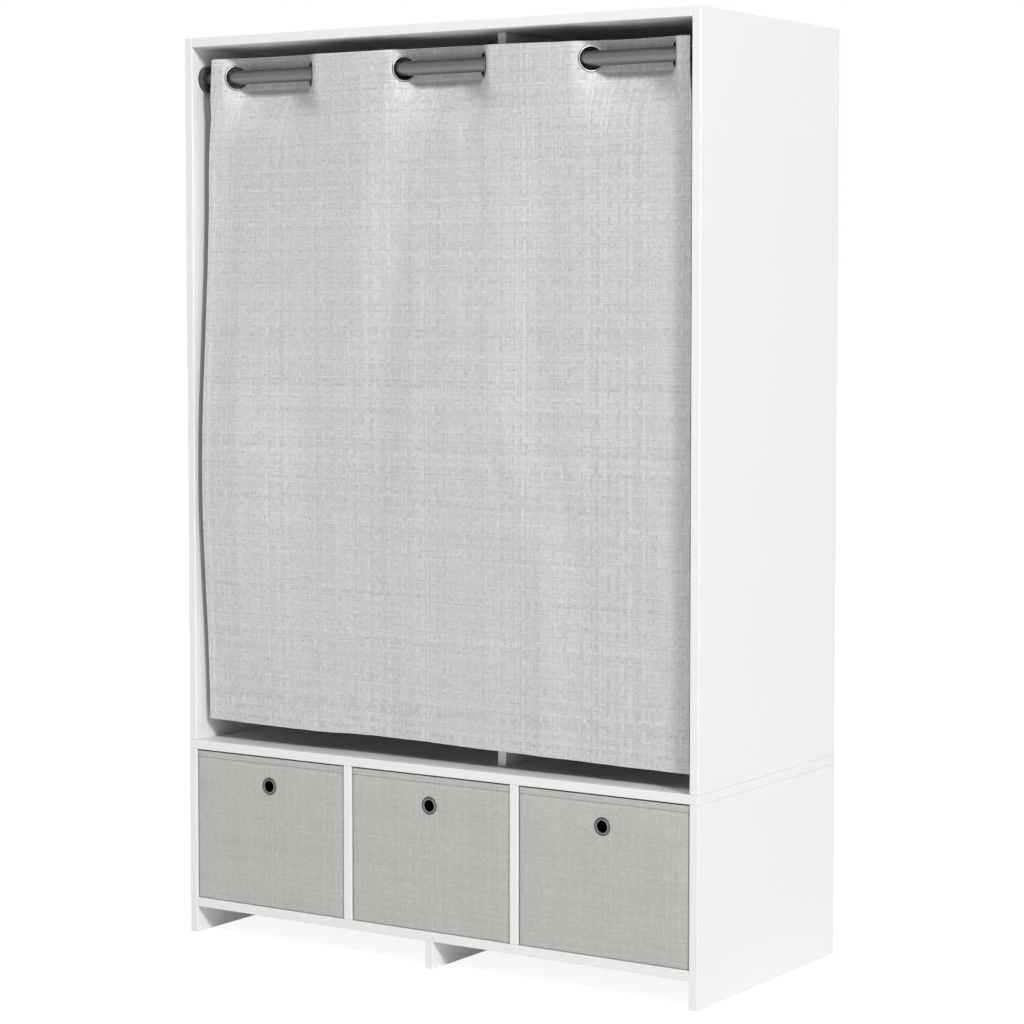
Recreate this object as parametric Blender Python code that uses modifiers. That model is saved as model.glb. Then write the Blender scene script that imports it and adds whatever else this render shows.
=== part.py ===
"""A wardrobe with a curtain front: a white board carcass on three feet, a linen curtain that
hangs from a rod on six eyelets, and three fabric boxes under the deck. Metres, +Z up, the front
faces -Y, and the origin is on the floor at the middle of the width and the depth."""

import math

import bmesh
import bpy
from mathutils import Matrix, Vector

# Carcass
WARDROBE_WIDTH = 1.05
WARDROBE_DEPTH = 0.48
WARDROBE_HEIGHT = 1.60
BOARD = 0.016
BOARD_EDGE_ROUND = 0.0008
FLOOR_CLEARANCE = 0.047
BOX_OPENING_HEIGHT = 0.2695
PARTITION_PLACE_SHARE = 0.6
PARTITION_SETBACK = 0.067
BOX_COUNT = 3

# Small clearances: between pieces that touch, and how far a cutter runs past a face
TOUCH_GAP = 0.0003
CUT_OVERRUN = 0.002

# Back sheets, the grooves that hold them and the strip that joins them
BACK_SHEET = 0.003
BACK_INSET = 0.010
GROOVE_DEPTH = 0.006
STRIP_WIDTH = 0.040
STRIP_WALL = 0.001

# Curtain rod, hanging rail and their end sockets
ROD_RADIUS = 0.0125
ROD_WALL = 0.001
ROD_SETBACK = 0.040
ROD_DROP = 0.054
RAIL_DROP = 0.054
SOCKET_RADIUS = 0.0235
SOCKET_THICKNESS = 0.0085
SOCKET_DEPTH = 0.005
SOCKET_EDGE = 0.001

# Curtain and its eyelets
CLOTH = 0.0008
CURTAIN_RISE = 0.032
CURTAIN_CLEARANCE = 0.0295
CURTAIN_RIGHT_GAP = 0.010
CURTAIN_LEFT_GAP_TOP = 0.032
CURTAIN_LEFT_GAP = 0.015
BILLOW_DEPTH = 0.024
BILLOW_HEIGHT_SHARE = 0.41
BILLOW_RISE_SHARE = 0.42
BILLOW_REACH = 0.16
EYELET_PLACE_SHARES = (0.080, 0.239, 0.4267, 0.5838, 0.7829, 0.9343)
EYELET_TURNS = tuple(math.radians(angle) for angle in (60, 47, 60, 47, 48, 53))
EYELET_RADIUS = 0.0222
EYELET_BORE_RADIUS = 0.0187
EYELET_BARREL_RADIUS = 0.0199
EYELET_THICKNESS = 0.003
EYELET_LIP = 0.0005
EYELET_FLAT_MARGIN = 0.001
FOLD_BEND_RADIUS = 0.0045
FOLD_RELAX_LENGTH = 0.24
LOWER_FOLD_SHARE = 0.55

# Shelves behind the right part of the curtain, and the pins that carry them
SHELF_COUNT = 3
SHELF_PLAY = 0.001
SHELF_SETBACK = 0.003
PIN_RADIUS = 0.0025
PIN_INSERT = 0.008
PIN_REACH = 0.009
PIN_INSET = 0.040

# Cam fittings in the underside of the top panel
CAM_RADIUS = 0.0075
CAM_DEPTH = 0.0125
CAM_FROM_END = 0.024
CAM_FROM_EDGE = 0.060
CAM_SLOT_LENGTH = 0.009
CAM_SLOT_WIDTH = 0.0018
CAM_SLOT_DEPTH = 0.003

# Fabric boxes
BOX_DEPTH = 0.44
BOX_WALL = 0.004
BOX_SIDE_PLAY = 0.002
BOX_TOP_PLAY = 0.0025
BOX_SETBACK = 0.002
BOX_EDGE_ROUND = 0.0015
BOX_BASE_BOARD = 0.004
BOX_BASE_PLAY = 0.0007
BOX_EYELET_DROP = 0.0525
BOX_EYELET_RADIUS = 0.0155
BOX_EYELET_BORE_RADIUS = 0.010
BOX_EYELET_BARREL_RADIUS = 0.0115
BOX_EYELET_THICKNESS = 0.0066

# Facets of the round pieces
ROUND_STEPS = 24
EYELET_STEPS = 20
HOLE_STEPS = 20
PIN_STEPS = 12
SMOOTH_ANGLE = math.radians(35)

# Places worked out from the sizes above
LEFT = -WARDROBE_WIDTH / 2
RIGHT = WARDROBE_WIDTH / 2
FRONT = -WARDROBE_DEPTH / 2
REAR = WARDROBE_DEPTH / 2
INNER_LEFT = LEFT + BOARD
INNER_RIGHT = RIGHT - BOARD
BOX_FLOOR = FLOOR_CLEARANCE + BOARD
DECK_UNDERSIDE = BOX_FLOOR + BOX_OPENING_HEIGHT
DECK_TOP = DECK_UNDERSIDE + BOARD
CEILING = WARDROBE_HEIGHT - BOARD
BOX_OPENING_WIDTH = (WARDROBE_WIDTH - (BOX_COUNT + 1) * BOARD) / BOX_COUNT
PARTITION_CENTRE = LEFT + PARTITION_PLACE_SHARE * WARDROBE_WIDTH
PARTITION_LEFT = PARTITION_CENTRE - BOARD / 2
PARTITION_RIGHT = PARTITION_CENTRE + BOARD / 2
PARTITION_FRONT = FRONT + PARTITION_SETBACK
BACK_CENTRE = REAR - BACK_INSET - BACK_SHEET / 2
BACK_FACE = BACK_CENTRE - BACK_SHEET / 2
STRIP_FACE = BACK_FACE - TOUCH_GAP - STRIP_WALL
ROD_Y = FRONT + ROD_SETBACK
ROD_Z = CEILING - ROD_DROP
RAIL_Y = (PARTITION_FRONT + BACK_FACE) / 2
RAIL_Z = CEILING - RAIL_DROP
CURTAIN_TOP = ROD_Z + CURTAIN_RISE
CURTAIN_BOTTOM = DECK_TOP + CURTAIN_CLEARANCE
EYELET_FLAT = EYELET_RADIUS + EYELET_FLAT_MARGIN
STEEPEST_TURN = max(EYELET_TURNS)
FOLD_DEPTH = EYELET_FLAT * math.sin(STEEPEST_TURN) + FOLD_BEND_RADIUS * (1 - math.cos(STEEPEST_TURN))


# Scene, collections and materials


def clear_scene():
    for obj in list(bpy.data.objects):
        bpy.data.objects.remove(obj, do_unlink=True)


def new_collection(name):
    collection = bpy.data.collections.new(name)
    bpy.context.scene.collection.children.link(collection)
    return collection


def new_material(name, colour, roughness, metallic=0.0):
    material = bpy.data.materials.new(name)
    material.use_nodes = True
    shader = material.node_tree.nodes["Principled BSDF"]
    shader.inputs["Base Color"].default_value = (*colour, 1.0)
    shader.inputs["Roughness"].default_value = roughness
    shader.inputs["Metallic"].default_value = metallic
    return material


clear_scene()
WARDROBE = new_collection("curtain_wardrobe")
CUTTERS = new_collection("cutters")
WHITE_BOARD = new_material("white_board", (0.86, 0.86, 0.86), 0.45)
WHITE_SHEET = new_material("white_back_sheet", (0.80, 0.80, 0.79), 0.6)
WHITE_PLASTIC = new_material("white_plastic", (0.82, 0.82, 0.82), 0.4)
GREY_TUBE = new_material("grey_lacquered_tube", (0.16, 0.16, 0.165), 0.45, 0.6)
DARK_PLASTIC = new_material("dark_socket", (0.05, 0.05, 0.05), 0.5)
EYELET_METAL = new_material("eyelet_metal", (0.20, 0.20, 0.21), 0.3, 0.9)
LINEN = new_material("grey_linen", (0.58, 0.58, 0.58), 0.9)
BOX_FABRIC = new_material("box_fabric", (0.45, 0.46, 0.42), 0.9)
BOX_BOARD = new_material("box_base_board", (0.44, 0.45, 0.41), 0.9)
ZINC = new_material("zinc_fitting", (0.55, 0.55, 0.55), 0.4, 0.9)


# Shapes that the pieces share


def add_object(name, data, material, location=(0, 0, 0), direction=None, parent=None):
    """Adds the mesh or curve as one piece, its local Z turned to the direction."""
    obj = bpy.data.objects.new(name, data)
    WARDROBE.objects.link(obj)
    data.materials.append(material)
    obj.parent = parent
    obj.location = Vector(location) - (parent.location if parent else Vector())
    if direction:
        obj.rotation_euler = Vector(direction).to_track_quat("Z", "Y").to_euler()
    return obj


def add_cutter(name, mesh, location=(0, 0, 0)):
    obj = bpy.data.objects.new(name, mesh)
    CUTTERS.objects.link(obj)
    obj.location = location
    obj.hide_render = True
    obj.display_type = "WIRE"
    return obj


def cut(obj, cutter):
    modifier = obj.modifiers.new(cutter.name, "BOOLEAN")
    modifier.operation = "DIFFERENCE"
    modifier.object = cutter


def cuboid_mesh(name, low, high):
    """A box of the size between two corners, about its own centre."""
    body = bmesh.new()
    bmesh.ops.create_cube(body, size=1)
    bmesh.ops.scale(body, vec=Vector(high) - Vector(low), verts=body.verts)
    mesh = bpy.data.meshes.new(name)
    body.to_mesh(mesh)
    body.free()
    return mesh


def middle(low, high):
    return (Vector(low) + Vector(high)) / 2


def add_board(name, low, high, material=WHITE_BOARD, edge_round=BOARD_EDGE_ROUND, parent=None):
    """A flat board between two corners, its edges broken by a small bevel."""
    obj = add_object(name, cuboid_mesh(name, low, high), material, middle(low, high), parent=parent)
    if edge_round:
        bevel = obj.modifiers.new("edge_round", "BEVEL")
        bevel.width = edge_round
        bevel.segments = 1
        bevel.limit_method = "NONE"
    return obj


def box_cutter(name, low, high):
    return add_cutter(name, cuboid_mesh(name, low, high), middle(low, high))


def cylinders_mesh(name, cylinders, steps):
    """One mesh of closed cylinders, each given by its two end centres and its radius."""
    body = bmesh.new()
    for start, end, radius in cylinders:
        span = Vector(end) - Vector(start)
        turn = span.to_track_quat("Z", "Y").to_matrix().to_4x4()
        bmesh.ops.create_cone(
            body,
            cap_ends=True,
            segments=steps,
            radius1=radius,
            radius2=radius,
            depth=span.length,
            matrix=Matrix.Translation(middle(start, end)) @ turn,
        )
    mesh = bpy.data.meshes.new(name)
    body.to_mesh(mesh)
    body.free()
    return mesh


def settle(obj):
    """Puts the modifiers' result into the mesh and shades it smooth but for its sharp edges."""
    graph = bpy.context.evaluated_depsgraph_get()
    mesh = bpy.data.meshes.new_from_object(obj.evaluated_get(graph))
    obj.modifiers.clear()
    obj.data = mesh
    mesh.shade_smooth()
    mesh.set_sharp_from_angle(angle=SMOOTH_ANGLE)
    return obj


def add_turned(name, profile, ring, steps, material, location, direction, parent=None):
    """A turned piece: a profile of (radius, height) points down its outer side, spun about Z.
    A ring's profile is a closed loop clear of the axis."""
    points = [(radius, 0, height) for radius, height in profile]
    edges = [(i, i + 1) for i in range(len(points) - 1)]
    if ring:
        edges.append((len(points) - 1, 0))
    mesh = bpy.data.meshes.new(name)
    mesh.from_pydata(points, edges, [])
    obj = add_object(name, mesh, material, location, direction, parent)
    screw = obj.modifiers.new("turn", "SCREW")
    screw.steps = steps
    screw.render_steps = steps
    screw.use_merge_vertices = True
    screw.merge_threshold = TOUCH_GAP / 10
    return settle(obj)


# Carcass


def add_carcass():
    """The boards, each 0.3 mm clear of the one that it meets. The deck runs through under the
    upper sides, and the other cross boards lie between the sides."""
    add_board("lower_side_left", (LEFT, FRONT, 0), (INNER_LEFT, REAR, DECK_UNDERSIDE - TOUCH_GAP))
    add_board("lower_side_right", (INNER_RIGHT, FRONT, 0), (RIGHT, REAR, DECK_UNDERSIDE - TOUCH_GAP))
    add_board(
        "bottom_panel",
        (INNER_LEFT + TOUCH_GAP, FRONT, FLOOR_CLEARANCE),
        (INNER_RIGHT - TOUCH_GAP, REAR, BOX_FLOOR),
    )
    add_board("centre_foot", (-BOARD / 2, FRONT, 0), (BOARD / 2, REAR, FLOOR_CLEARANCE - TOUCH_GAP))
    for index, side in enumerate(("left", "right")):
        start = INNER_LEFT + (index + 1) * BOX_OPENING_WIDTH + index * BOARD
        add_board(
            f"box_divider_{side}",
            (start, FRONT, BOX_FLOOR + TOUCH_GAP),
            (start + BOARD, BACK_FACE - TOUCH_GAP, DECK_UNDERSIDE - TOUCH_GAP),
        )
    add_board("deck_panel", (LEFT, FRONT, DECK_UNDERSIDE), (RIGHT, REAR, DECK_TOP))
    add_board("upper_side_left", (LEFT, FRONT, DECK_TOP + TOUCH_GAP), (INNER_LEFT, REAR, WARDROBE_HEIGHT))
    add_board("upper_side_right", (INNER_RIGHT, FRONT, DECK_TOP + TOUCH_GAP), (RIGHT, REAR, WARDROBE_HEIGHT))
    add_board(
        "top_panel",
        (INNER_LEFT + TOUCH_GAP, FRONT, CEILING),
        (INNER_RIGHT - TOUCH_GAP, REAR, WARDROBE_HEIGHT),
    )
    add_board(
        "partition",
        (PARTITION_LEFT, PARTITION_FRONT, DECK_TOP + TOUCH_GAP),
        (PARTITION_RIGHT, STRIP_FACE - TOUCH_GAP, CEILING - TOUCH_GAP),
    )


def add_back():
    """Thin sheets held in grooves of the boards round them. The two upper sheets meet in a
    joining strip of H section behind the partition."""
    reach = GROOVE_DEPTH - TOUCH_GAP
    front, rear = BACK_CENTRE - BACK_SHEET / 2, BACK_CENTRE + BACK_SHEET / 2
    seam = STRIP_WALL / 2 + TOUCH_GAP
    sheets = {
        "upper_back_left": (INNER_LEFT - reach, PARTITION_CENTRE - seam, DECK_TOP, CEILING),
        "upper_back_right": (PARTITION_CENTRE + seam, INNER_RIGHT + reach, DECK_TOP, CEILING),
        "lower_back": (INNER_LEFT - reach, INNER_RIGHT + reach, BOX_FLOOR, DECK_UNDERSIDE),
    }
    for name, (start, end, bottom, top) in sheets.items():
        low, high = (start, front, bottom - reach), (end, rear, top + reach)
        add_board(name, low, high, WHITE_SHEET, edge_round=0)

    grooves = {
        "upper_groove": (DECK_TOP, CEILING, ("upper_side_left", "upper_side_right", "top_panel")),
        "lower_groove": (BOX_FLOOR, DECK_UNDERSIDE, ("lower_side_left", "lower_side_right", "bottom_panel")),
    }
    for name, (bottom, top, boards) in grooves.items():
        cutter = box_cutter(
            name,
            (INNER_LEFT - GROOVE_DEPTH, front - TOUCH_GAP, bottom - GROOVE_DEPTH),
            (INNER_RIGHT + GROOVE_DEPTH, rear + TOUCH_GAP, top + GROOVE_DEPTH),
        )
        for board in (*boards, "deck_panel"):
            cut(bpy.data.objects[board], cutter)

    half_width, half_web = STRIP_WIDTH / 2, STRIP_WALL / 2
    inner = BACK_SHEET / 2 + TOUCH_GAP
    outer = inner + STRIP_WALL
    quarter = [(half_width, outer), (half_width, inner), (half_web, inner)]
    outline = [(-x, -y) for x, y in quarter]
    outline += [(-x, y) for x, y in reversed(quarter)]
    outline += quarter
    outline += [(x, -y) for x, y in reversed(quarter)]
    curve = bpy.data.curves.new("back_joining_strip", "CURVE")
    curve.dimensions = "2D"
    curve.fill_mode = "BOTH"
    curve.extrude = (CEILING - DECK_TOP) / 2 - TOUCH_GAP
    spline = curve.splines.new("POLY")
    spline.points.add(len(outline) - 1)
    for point, (x, y) in zip(spline.points, outline):
        point.co = (x, y, 0, 1)
    spline.use_cyclic_u = True
    place = (PARTITION_CENTRE, BACK_CENTRE, (CEILING + DECK_TOP) / 2)
    add_object("back_joining_strip", curve, WHITE_PLASTIC, place)


def add_cams():
    """Four cam fittings, flush in bores in the underside of the top panel, near its ends."""
    bores = []
    for side, end, inward in (("left", INNER_LEFT, 1), ("right", INNER_RIGHT, -1)):
        for edge, line, back in (("front", FRONT, 1), ("rear", REAR, -1)):
            x = end + inward * CAM_FROM_END
            y = line + back * CAM_FROM_EDGE
            name = f"top_cam_{edge}_{side}"
            start, end_point = (x, y, CEILING), (x, y, CEILING + CAM_DEPTH)
            cam = add_object(name, cylinders_mesh(name, [(start, end_point, CAM_RADIUS)], ROUND_STEPS), ZINC)
            half_long, half_wide = CAM_SLOT_LENGTH / 2, CAM_SLOT_WIDTH / 2
            for slot, (across, along) in (("x", (half_long, half_wide)), ("y", (half_wide, half_long))):
                low = (x - across, y - along, CEILING - CUT_OVERRUN)
                high = (x + across, y + along, CEILING + CAM_SLOT_DEPTH)
                cut(cam, box_cutter(f"{name}_slot_{slot}", low, high))
            settle(cam)
            below, above = (x, y, CEILING - CUT_OVERRUN), (x, y, CEILING + CAM_DEPTH + TOUCH_GAP)
            bores.append((below, above, CAM_RADIUS + TOUCH_GAP))
    cutter = add_cutter("cam_bores", cylinders_mesh("cam_bores", bores, ROUND_STEPS))
    cut(bpy.data.objects["top_panel"], cutter)


# Shelves


def add_shelves():
    """Loose shelves between the partition and the right side, evenly spaced, each on four pins
    that stand in drilled holes."""
    spacing = (CEILING - DECK_TOP + BOARD) / (SHELF_COUNT + 1)
    shelf_front = PARTITION_FRONT + SHELF_SETBACK
    shelf_rear = STRIP_FACE - SHELF_PLAY
    holes = []
    for index, level in enumerate(("lower", "middle", "upper")[:SHELF_COUNT]):
        underside = DECK_TOP + (index + 1) * spacing - BOARD
        add_board(
            f"shelf_{level}",
            (PARTITION_RIGHT + SHELF_PLAY, shelf_front, underside),
            (INNER_RIGHT - SHELF_PLAY, shelf_rear, underside + BOARD),
        )
        z = underside - TOUCH_GAP - PIN_RADIUS
        for edge, y in (("front", shelf_front + PIN_INSET), ("rear", shelf_rear - PIN_INSET)):
            for side, face, inward in (("left", PARTITION_RIGHT, 1), ("right", INNER_RIGHT, -1)):
                name = f"shelf_pin_{level}_{edge}_{side}"
                ends = ((face - inward * PIN_INSERT, y, z), (face + inward * PIN_REACH, y, z))
                pin = add_object(name, cylinders_mesh(name, [(*ends, PIN_RADIUS)], PIN_STEPS), ZINC)
                settle(pin)
            depth = PIN_INSERT + TOUCH_GAP
            start, end = (PARTITION_RIGHT - depth, y, z), (INNER_RIGHT + depth, y, z)
            holes.append((start, end, PIN_RADIUS + TOUCH_GAP))
    cutter = add_cutter("pin_holes", cylinders_mesh("pin_holes", holes, PIN_STEPS))
    cut(bpy.data.objects["partition"], cutter)
    cut(bpy.data.objects["upper_side_right"], cutter)


# Rod and rail


def add_tube(name, start, end, y, z):
    """A round tube along X between two end planes."""
    half = (end - start) / 2
    inner = ROD_RADIUS - ROD_WALL
    profile = [(ROD_RADIUS, half), (ROD_RADIUS, -half), (inner, -half), (inner, half)]
    place = ((start + end) / 2, y, z)
    add_turned(name, profile, True, ROUND_STEPS, GREY_TUBE, place, (1, 0, 0))


def add_socket(name, face, inward, y, z):
    """A round end socket on a board's face, with a blind seat for the tube."""
    seat = ROD_RADIUS + TOUCH_GAP
    floor = SOCKET_THICKNESS - SOCKET_DEPTH
    profile = [
        (0, floor),
        (seat, floor),
        (seat, SOCKET_THICKNESS),
        (SOCKET_RADIUS - SOCKET_EDGE, SOCKET_THICKNESS),
        (SOCKET_RADIUS, SOCKET_THICKNESS - SOCKET_EDGE),
        (SOCKET_RADIUS, 0),
        (0, 0),
    ]
    place = (face + inward * TOUCH_GAP, y, z)
    add_turned(name, profile, False, ROUND_STEPS, DARK_PLASTIC, place, (inward, 0, 0))


def add_rod_and_rail():
    """The curtain rod from side to side, and the hanging rail from the left side to the
    partition, each with its ends in sockets."""
    seat = SOCKET_THICKNESS - SOCKET_DEPTH + 2 * TOUCH_GAP
    for tube, socket, right_face, y, z in (
        ("curtain_rod", "rod_socket", INNER_RIGHT, ROD_Y, ROD_Z),
        ("hanging_rail", "rail_socket", PARTITION_LEFT, RAIL_Y, RAIL_Z),
    ):
        add_tube(tube, INNER_LEFT + seat, right_face - seat, y, z)
        add_socket(f"{socket}_left", INNER_LEFT, 1, y, z)
        add_socket(f"{socket}_right", right_face, -1, y, z)


# Eyelets and curtain


def eyelet_profile(radius, bore, barrel, thickness, gripped):
    """A pressed eyelet: a barrel with a flange on each side, and a groove for what it grips."""
    half = thickness / 2
    grip = gripped / 2 + TOUCH_GAP
    face = [(radius - EYELET_LIP, half), (radius, grip), (barrel, grip)]
    bore_edge = [(bore, half - EYELET_LIP), (bore + EYELET_LIP, half)]
    mirrored = [(r, -h) for r, h in reversed(face)]
    mirrored_bore = [(r, -h) for r, h in reversed(bore_edge)]
    return face + mirrored + mirrored_bore + bore_edge


def eyelet_turn(index):
    """(angle to the rod, 1 where the cloth passes from front to back going right, else -1)."""
    return EYELET_TURNS[index], 1 if index % 2 == 0 else -1


def eyelet_x(index):
    return LEFT + EYELET_PLACE_SHARES[index] * WARDROBE_WIDTH


def eyelet_normal(index):
    turn, sense = eyelet_turn(index)
    return Vector((sense * math.sin(turn), -math.cos(turn), 0))


def add_curtain_eyelets():
    profile = eyelet_profile(
        EYELET_RADIUS, EYELET_BORE_RADIUS, EYELET_BARREL_RADIUS, EYELET_THICKNESS, CLOTH
    )
    for index in range(len(EYELET_PLACE_SHARES)):
        add_turned(
            f"curtain_eyelet_{index + 1}",
            profile,
            True,
            EYELET_STEPS,
            EYELET_METAL,
            (eyelet_x(index), ROD_Y, ROD_Z),
            eyelet_normal(index),
        )


def crossing_points(index):
    """Plan points (x, offset behind the rod) where the cloth crosses the rod at an eyelet: flat
    across the eyelet, and bent on each side by an arc that ends parallel to the rod."""
    turn, sense = eyelet_turn(index)
    run, rise = EYELET_FLAT * math.cos(turn), EYELET_FLAT * math.sin(turn)
    radius = (FOLD_DEPTH - rise) / (1 - math.cos(turn))
    right = []
    for part in (1, 1 / 2, 0):
        angle = turn * part
        x = run + radius * (math.sin(turn) - math.sin(angle))
        y = rise + radius * (math.cos(angle) - math.cos(turn))
        right.append((x, y))
    left = [(-x, -y) for x, y in reversed(right)]
    return [(eyelet_x(index) + x, sense * y) for x, y in left + right]


def lower_fold(x):
    """The relaxed fold well below the rod, from -1 at the front to 1 at the back: half a sine
    wave between each two eyelets, and a quarter wave out to each edge."""
    places = [eyelet_x(index) for index in range(len(EYELET_PLACE_SHARES))]
    if x <= places[0]:
        share = (places[0] - x) / (places[0] - INNER_LEFT)
        return -math.sin(math.pi / 2 * share)
    if x >= places[-1]:
        share = (x - places[-1]) / (INNER_RIGHT - places[-1])
        return -math.sin(math.pi / 2 * share)
    index = max(i for i, place in enumerate(places) if place <= x)
    index = min(index, len(places) - 2)
    share = (x - places[index]) / (places[index + 1] - places[index])
    sense = 1 if index % 2 == 0 else -1
    return sense * math.sin(math.pi * share)


def curtain_columns():
    """(x, fold at the rod) for each column of the cloth, from the left edge to the right."""
    columns = [(INNER_LEFT + CURTAIN_LEFT_GAP_TOP, -FOLD_DEPTH)]
    for index in range(len(EYELET_PLACE_SHARES)):
        points = crossing_points(index)
        if index:
            columns.append(((columns[-1][0] + points[0][0]) / 2, points[0][1]))
        columns += points
    columns.append((INNER_RIGHT - CURTAIN_RIGHT_GAP, -FOLD_DEPTH))
    return columns


def curtain_rows():
    """Heights of the cloth's rows, from the top hem down. They lie close where folds relax."""
    flat = [CURTAIN_TOP, ROD_Z + EYELET_FLAT, ROD_Z - EYELET_FLAT]
    relaxing = [ROD_Z - EYELET_FLAT - FOLD_RELAX_LENGTH * share for share in (0.2, 0.42, 0.68, 1)]
    length = relaxing[-1] - CURTAIN_BOTTOM
    hanging = [relaxing[-1] - length * share for share in (0.2, 0.4, 0.6, 0.8, 1)]
    return flat + relaxing + hanging


def tightness(z):
    """1 at the eyelets, where the folds are tight, easing to 0 where they have relaxed."""
    share = (ROD_Z - EYELET_FLAT - z) / FOLD_RELAX_LENGTH
    share = min(max(share, 0), 1)
    return 1 - share * share * (3 - 2 * share)


def left_edge(z):
    """X of the cloth's left edge: it draws in to the eyelets at the top."""
    drawn_in = CURTAIN_LEFT_GAP_TOP - CURTAIN_LEFT_GAP
    return INNER_LEFT + CURTAIN_LEFT_GAP + drawn_in * tightness(z)


def billow(x, z):
    """How far the free left part of the cloth swells forward: half a cosine wave up the height,
    and a quarter of one in from the edge."""
    height = CURTAIN_TOP - CURTAIN_BOTTOM
    rise = abs((z - CURTAIN_BOTTOM) / height - BILLOW_HEIGHT_SHARE) / BILLOW_RISE_SHARE
    reach = (x - INNER_LEFT - CURTAIN_LEFT_GAP) / BILLOW_REACH
    up = (1 + math.cos(math.pi * min(rise, 1))) / 2
    return BILLOW_DEPTH * up * (1 + math.cos(math.pi * min(max(reach, 0), 1))) / 2


def add_curtain():
    """The cloth: a grid whose columns follow the folds, given its thickness, with a hole for
    each eyelet's barrel."""
    columns, rows = curtain_columns(), curtain_rows()
    body = bmesh.new()
    bmesh.ops.create_grid(body, x_segments=len(columns) - 1, y_segments=len(rows) - 1, size=1)
    for vertex in body.verts:
        column = round((vertex.co.x + 1) / 2 * (len(columns) - 1))
        row = round((1 - vertex.co.y) / 2 * (len(rows) - 1))
        (x, fold), z = columns[column], rows[row]
        if column == 0:
            x = left_edge(z)
        tight = tightness(z)
        relaxed = LOWER_FOLD_SHARE * FOLD_DEPTH * lower_fold(x) - billow(x, z)
        vertex.co = (x, ROD_Y + tight * fold + (1 - tight) * relaxed, z)
    mesh = bpy.data.meshes.new("curtain")
    body.to_mesh(mesh)
    body.free()
    curtain = add_object("curtain", mesh, LINEN)
    cloth = curtain.modifiers.new("cloth", "SOLIDIFY")
    cloth.thickness = CLOTH
    cloth.offset = 0
    cloth.use_even_offset = True
    holes = []
    for index in range(len(EYELET_PLACE_SHARES)):
        centre = Vector((eyelet_x(index), ROD_Y, ROD_Z))
        reach = (CLOTH / 2 + CUT_OVERRUN) * eyelet_normal(index)
        holes.append((centre - reach, centre + reach, EYELET_BARREL_RADIUS + TOUCH_GAP))
    cut(curtain, add_cutter("eyelet_holes", cylinders_mesh("eyelet_holes", holes, HOLE_STEPS)))
    settle(curtain)


# Fabric boxes


def open_box_mesh(name, width, depth, height):
    """A box with no top, centred on its width and depth and standing on its floor."""
    body = bmesh.new()
    bmesh.ops.create_cube(body, size=1)
    bmesh.ops.scale(body, vec=(width, depth, height), verts=body.verts)
    bmesh.ops.translate(body, vec=(0, 0, height / 2), verts=body.verts)
    top = [face for face in body.faces if face.normal.z > 1 / 2]
    bmesh.ops.delete(body, geom=top, context="FACES_ONLY")
    mesh = bpy.data.meshes.new(name)
    body.to_mesh(mesh)
    body.free()
    return mesh


def add_boxes():
    """Three open fabric boxes, each a shell with a loose base board and a finger eyelet in its
    front, on an empty at the middle of its front that slides with it."""
    width = BOX_OPENING_WIDTH - 2 * BOX_SIDE_PLAY
    height = BOX_OPENING_HEIGHT - TOUCH_GAP - BOX_TOP_PLAY
    front = FRONT + BOX_SETBACK
    base = BOX_FLOOR + TOUCH_GAP
    eyelet_z = DECK_UNDERSIDE - BOX_EYELET_DROP
    profile = eyelet_profile(
        BOX_EYELET_RADIUS,
        BOX_EYELET_BORE_RADIUS,
        BOX_EYELET_BARREL_RADIUS,
        BOX_EYELET_THICKNESS,
        BOX_WALL,
    )
    for index, side in enumerate(("left", "middle", "right")[:BOX_COUNT]):
        x = INNER_LEFT + BOX_OPENING_WIDTH / 2 + index * (BOX_OPENING_WIDTH + BOARD)
        slide = bpy.data.objects.new(f"box_{side}_slide", None)
        WARDROBE.objects.link(slide)
        slide.location = (x, front, base)

        name = f"box_{side}_shell"
        mesh = open_box_mesh(name, width, BOX_DEPTH, height)
        shell = add_object(name, mesh, BOX_FABRIC, (x, front + BOX_DEPTH / 2, base), parent=slide)
        wall = shell.modifiers.new("wall", "SOLIDIFY")
        wall.thickness = BOX_WALL
        wall.offset = -1
        wall.use_even_offset = True
        rounded = shell.modifiers.new("rounded", "BEVEL")
        rounded.width = BOX_EDGE_ROUND
        rounded.segments = 2
        rounded.limit_method = "ANGLE"
        wall_centre = front + BOX_WALL / 2
        reach = BOX_WALL / 2 + CUT_OVERRUN
        ends = ((x, wall_centre - reach, eyelet_z), (x, wall_centre + reach, eyelet_z))
        hole = cylinders_mesh("hole", [(*ends, BOX_EYELET_BARREL_RADIUS + TOUCH_GAP)], HOLE_STEPS)
        cut(shell, add_cutter(f"box_{side}_eyelet_hole", hole))

        inset = BOX_WALL + BOX_BASE_PLAY
        low = (x - width / 2 + inset, front + inset, base + BOX_WALL + TOUCH_GAP)
        high = (x + width / 2 - inset, front + BOX_DEPTH - inset, low[2] + BOX_BASE_BOARD)
        add_board(f"box_{side}_base", low, high, BOX_BOARD, parent=slide)
        place = (x, wall_centre, eyelet_z)
        add_turned(
            f"box_{side}_eyelet", profile, True, EYELET_STEPS, EYELET_METAL, place, (0, -1, 0), slide
        )


def main():
    add_carcass()
    add_back()
    add_cams()
    add_shelves()
    add_rod_and_rail()
    add_curtain_eyelets()
    add_curtain()
    add_boxes()


main()
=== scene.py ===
"""Dresses the curtain wardrobe: boards and back sheets, the curtain with its eyelets on the rod,
the fabric boxes, the small fittings, and a plain studio with the camera. Metres, +Z up."""

import math

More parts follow.
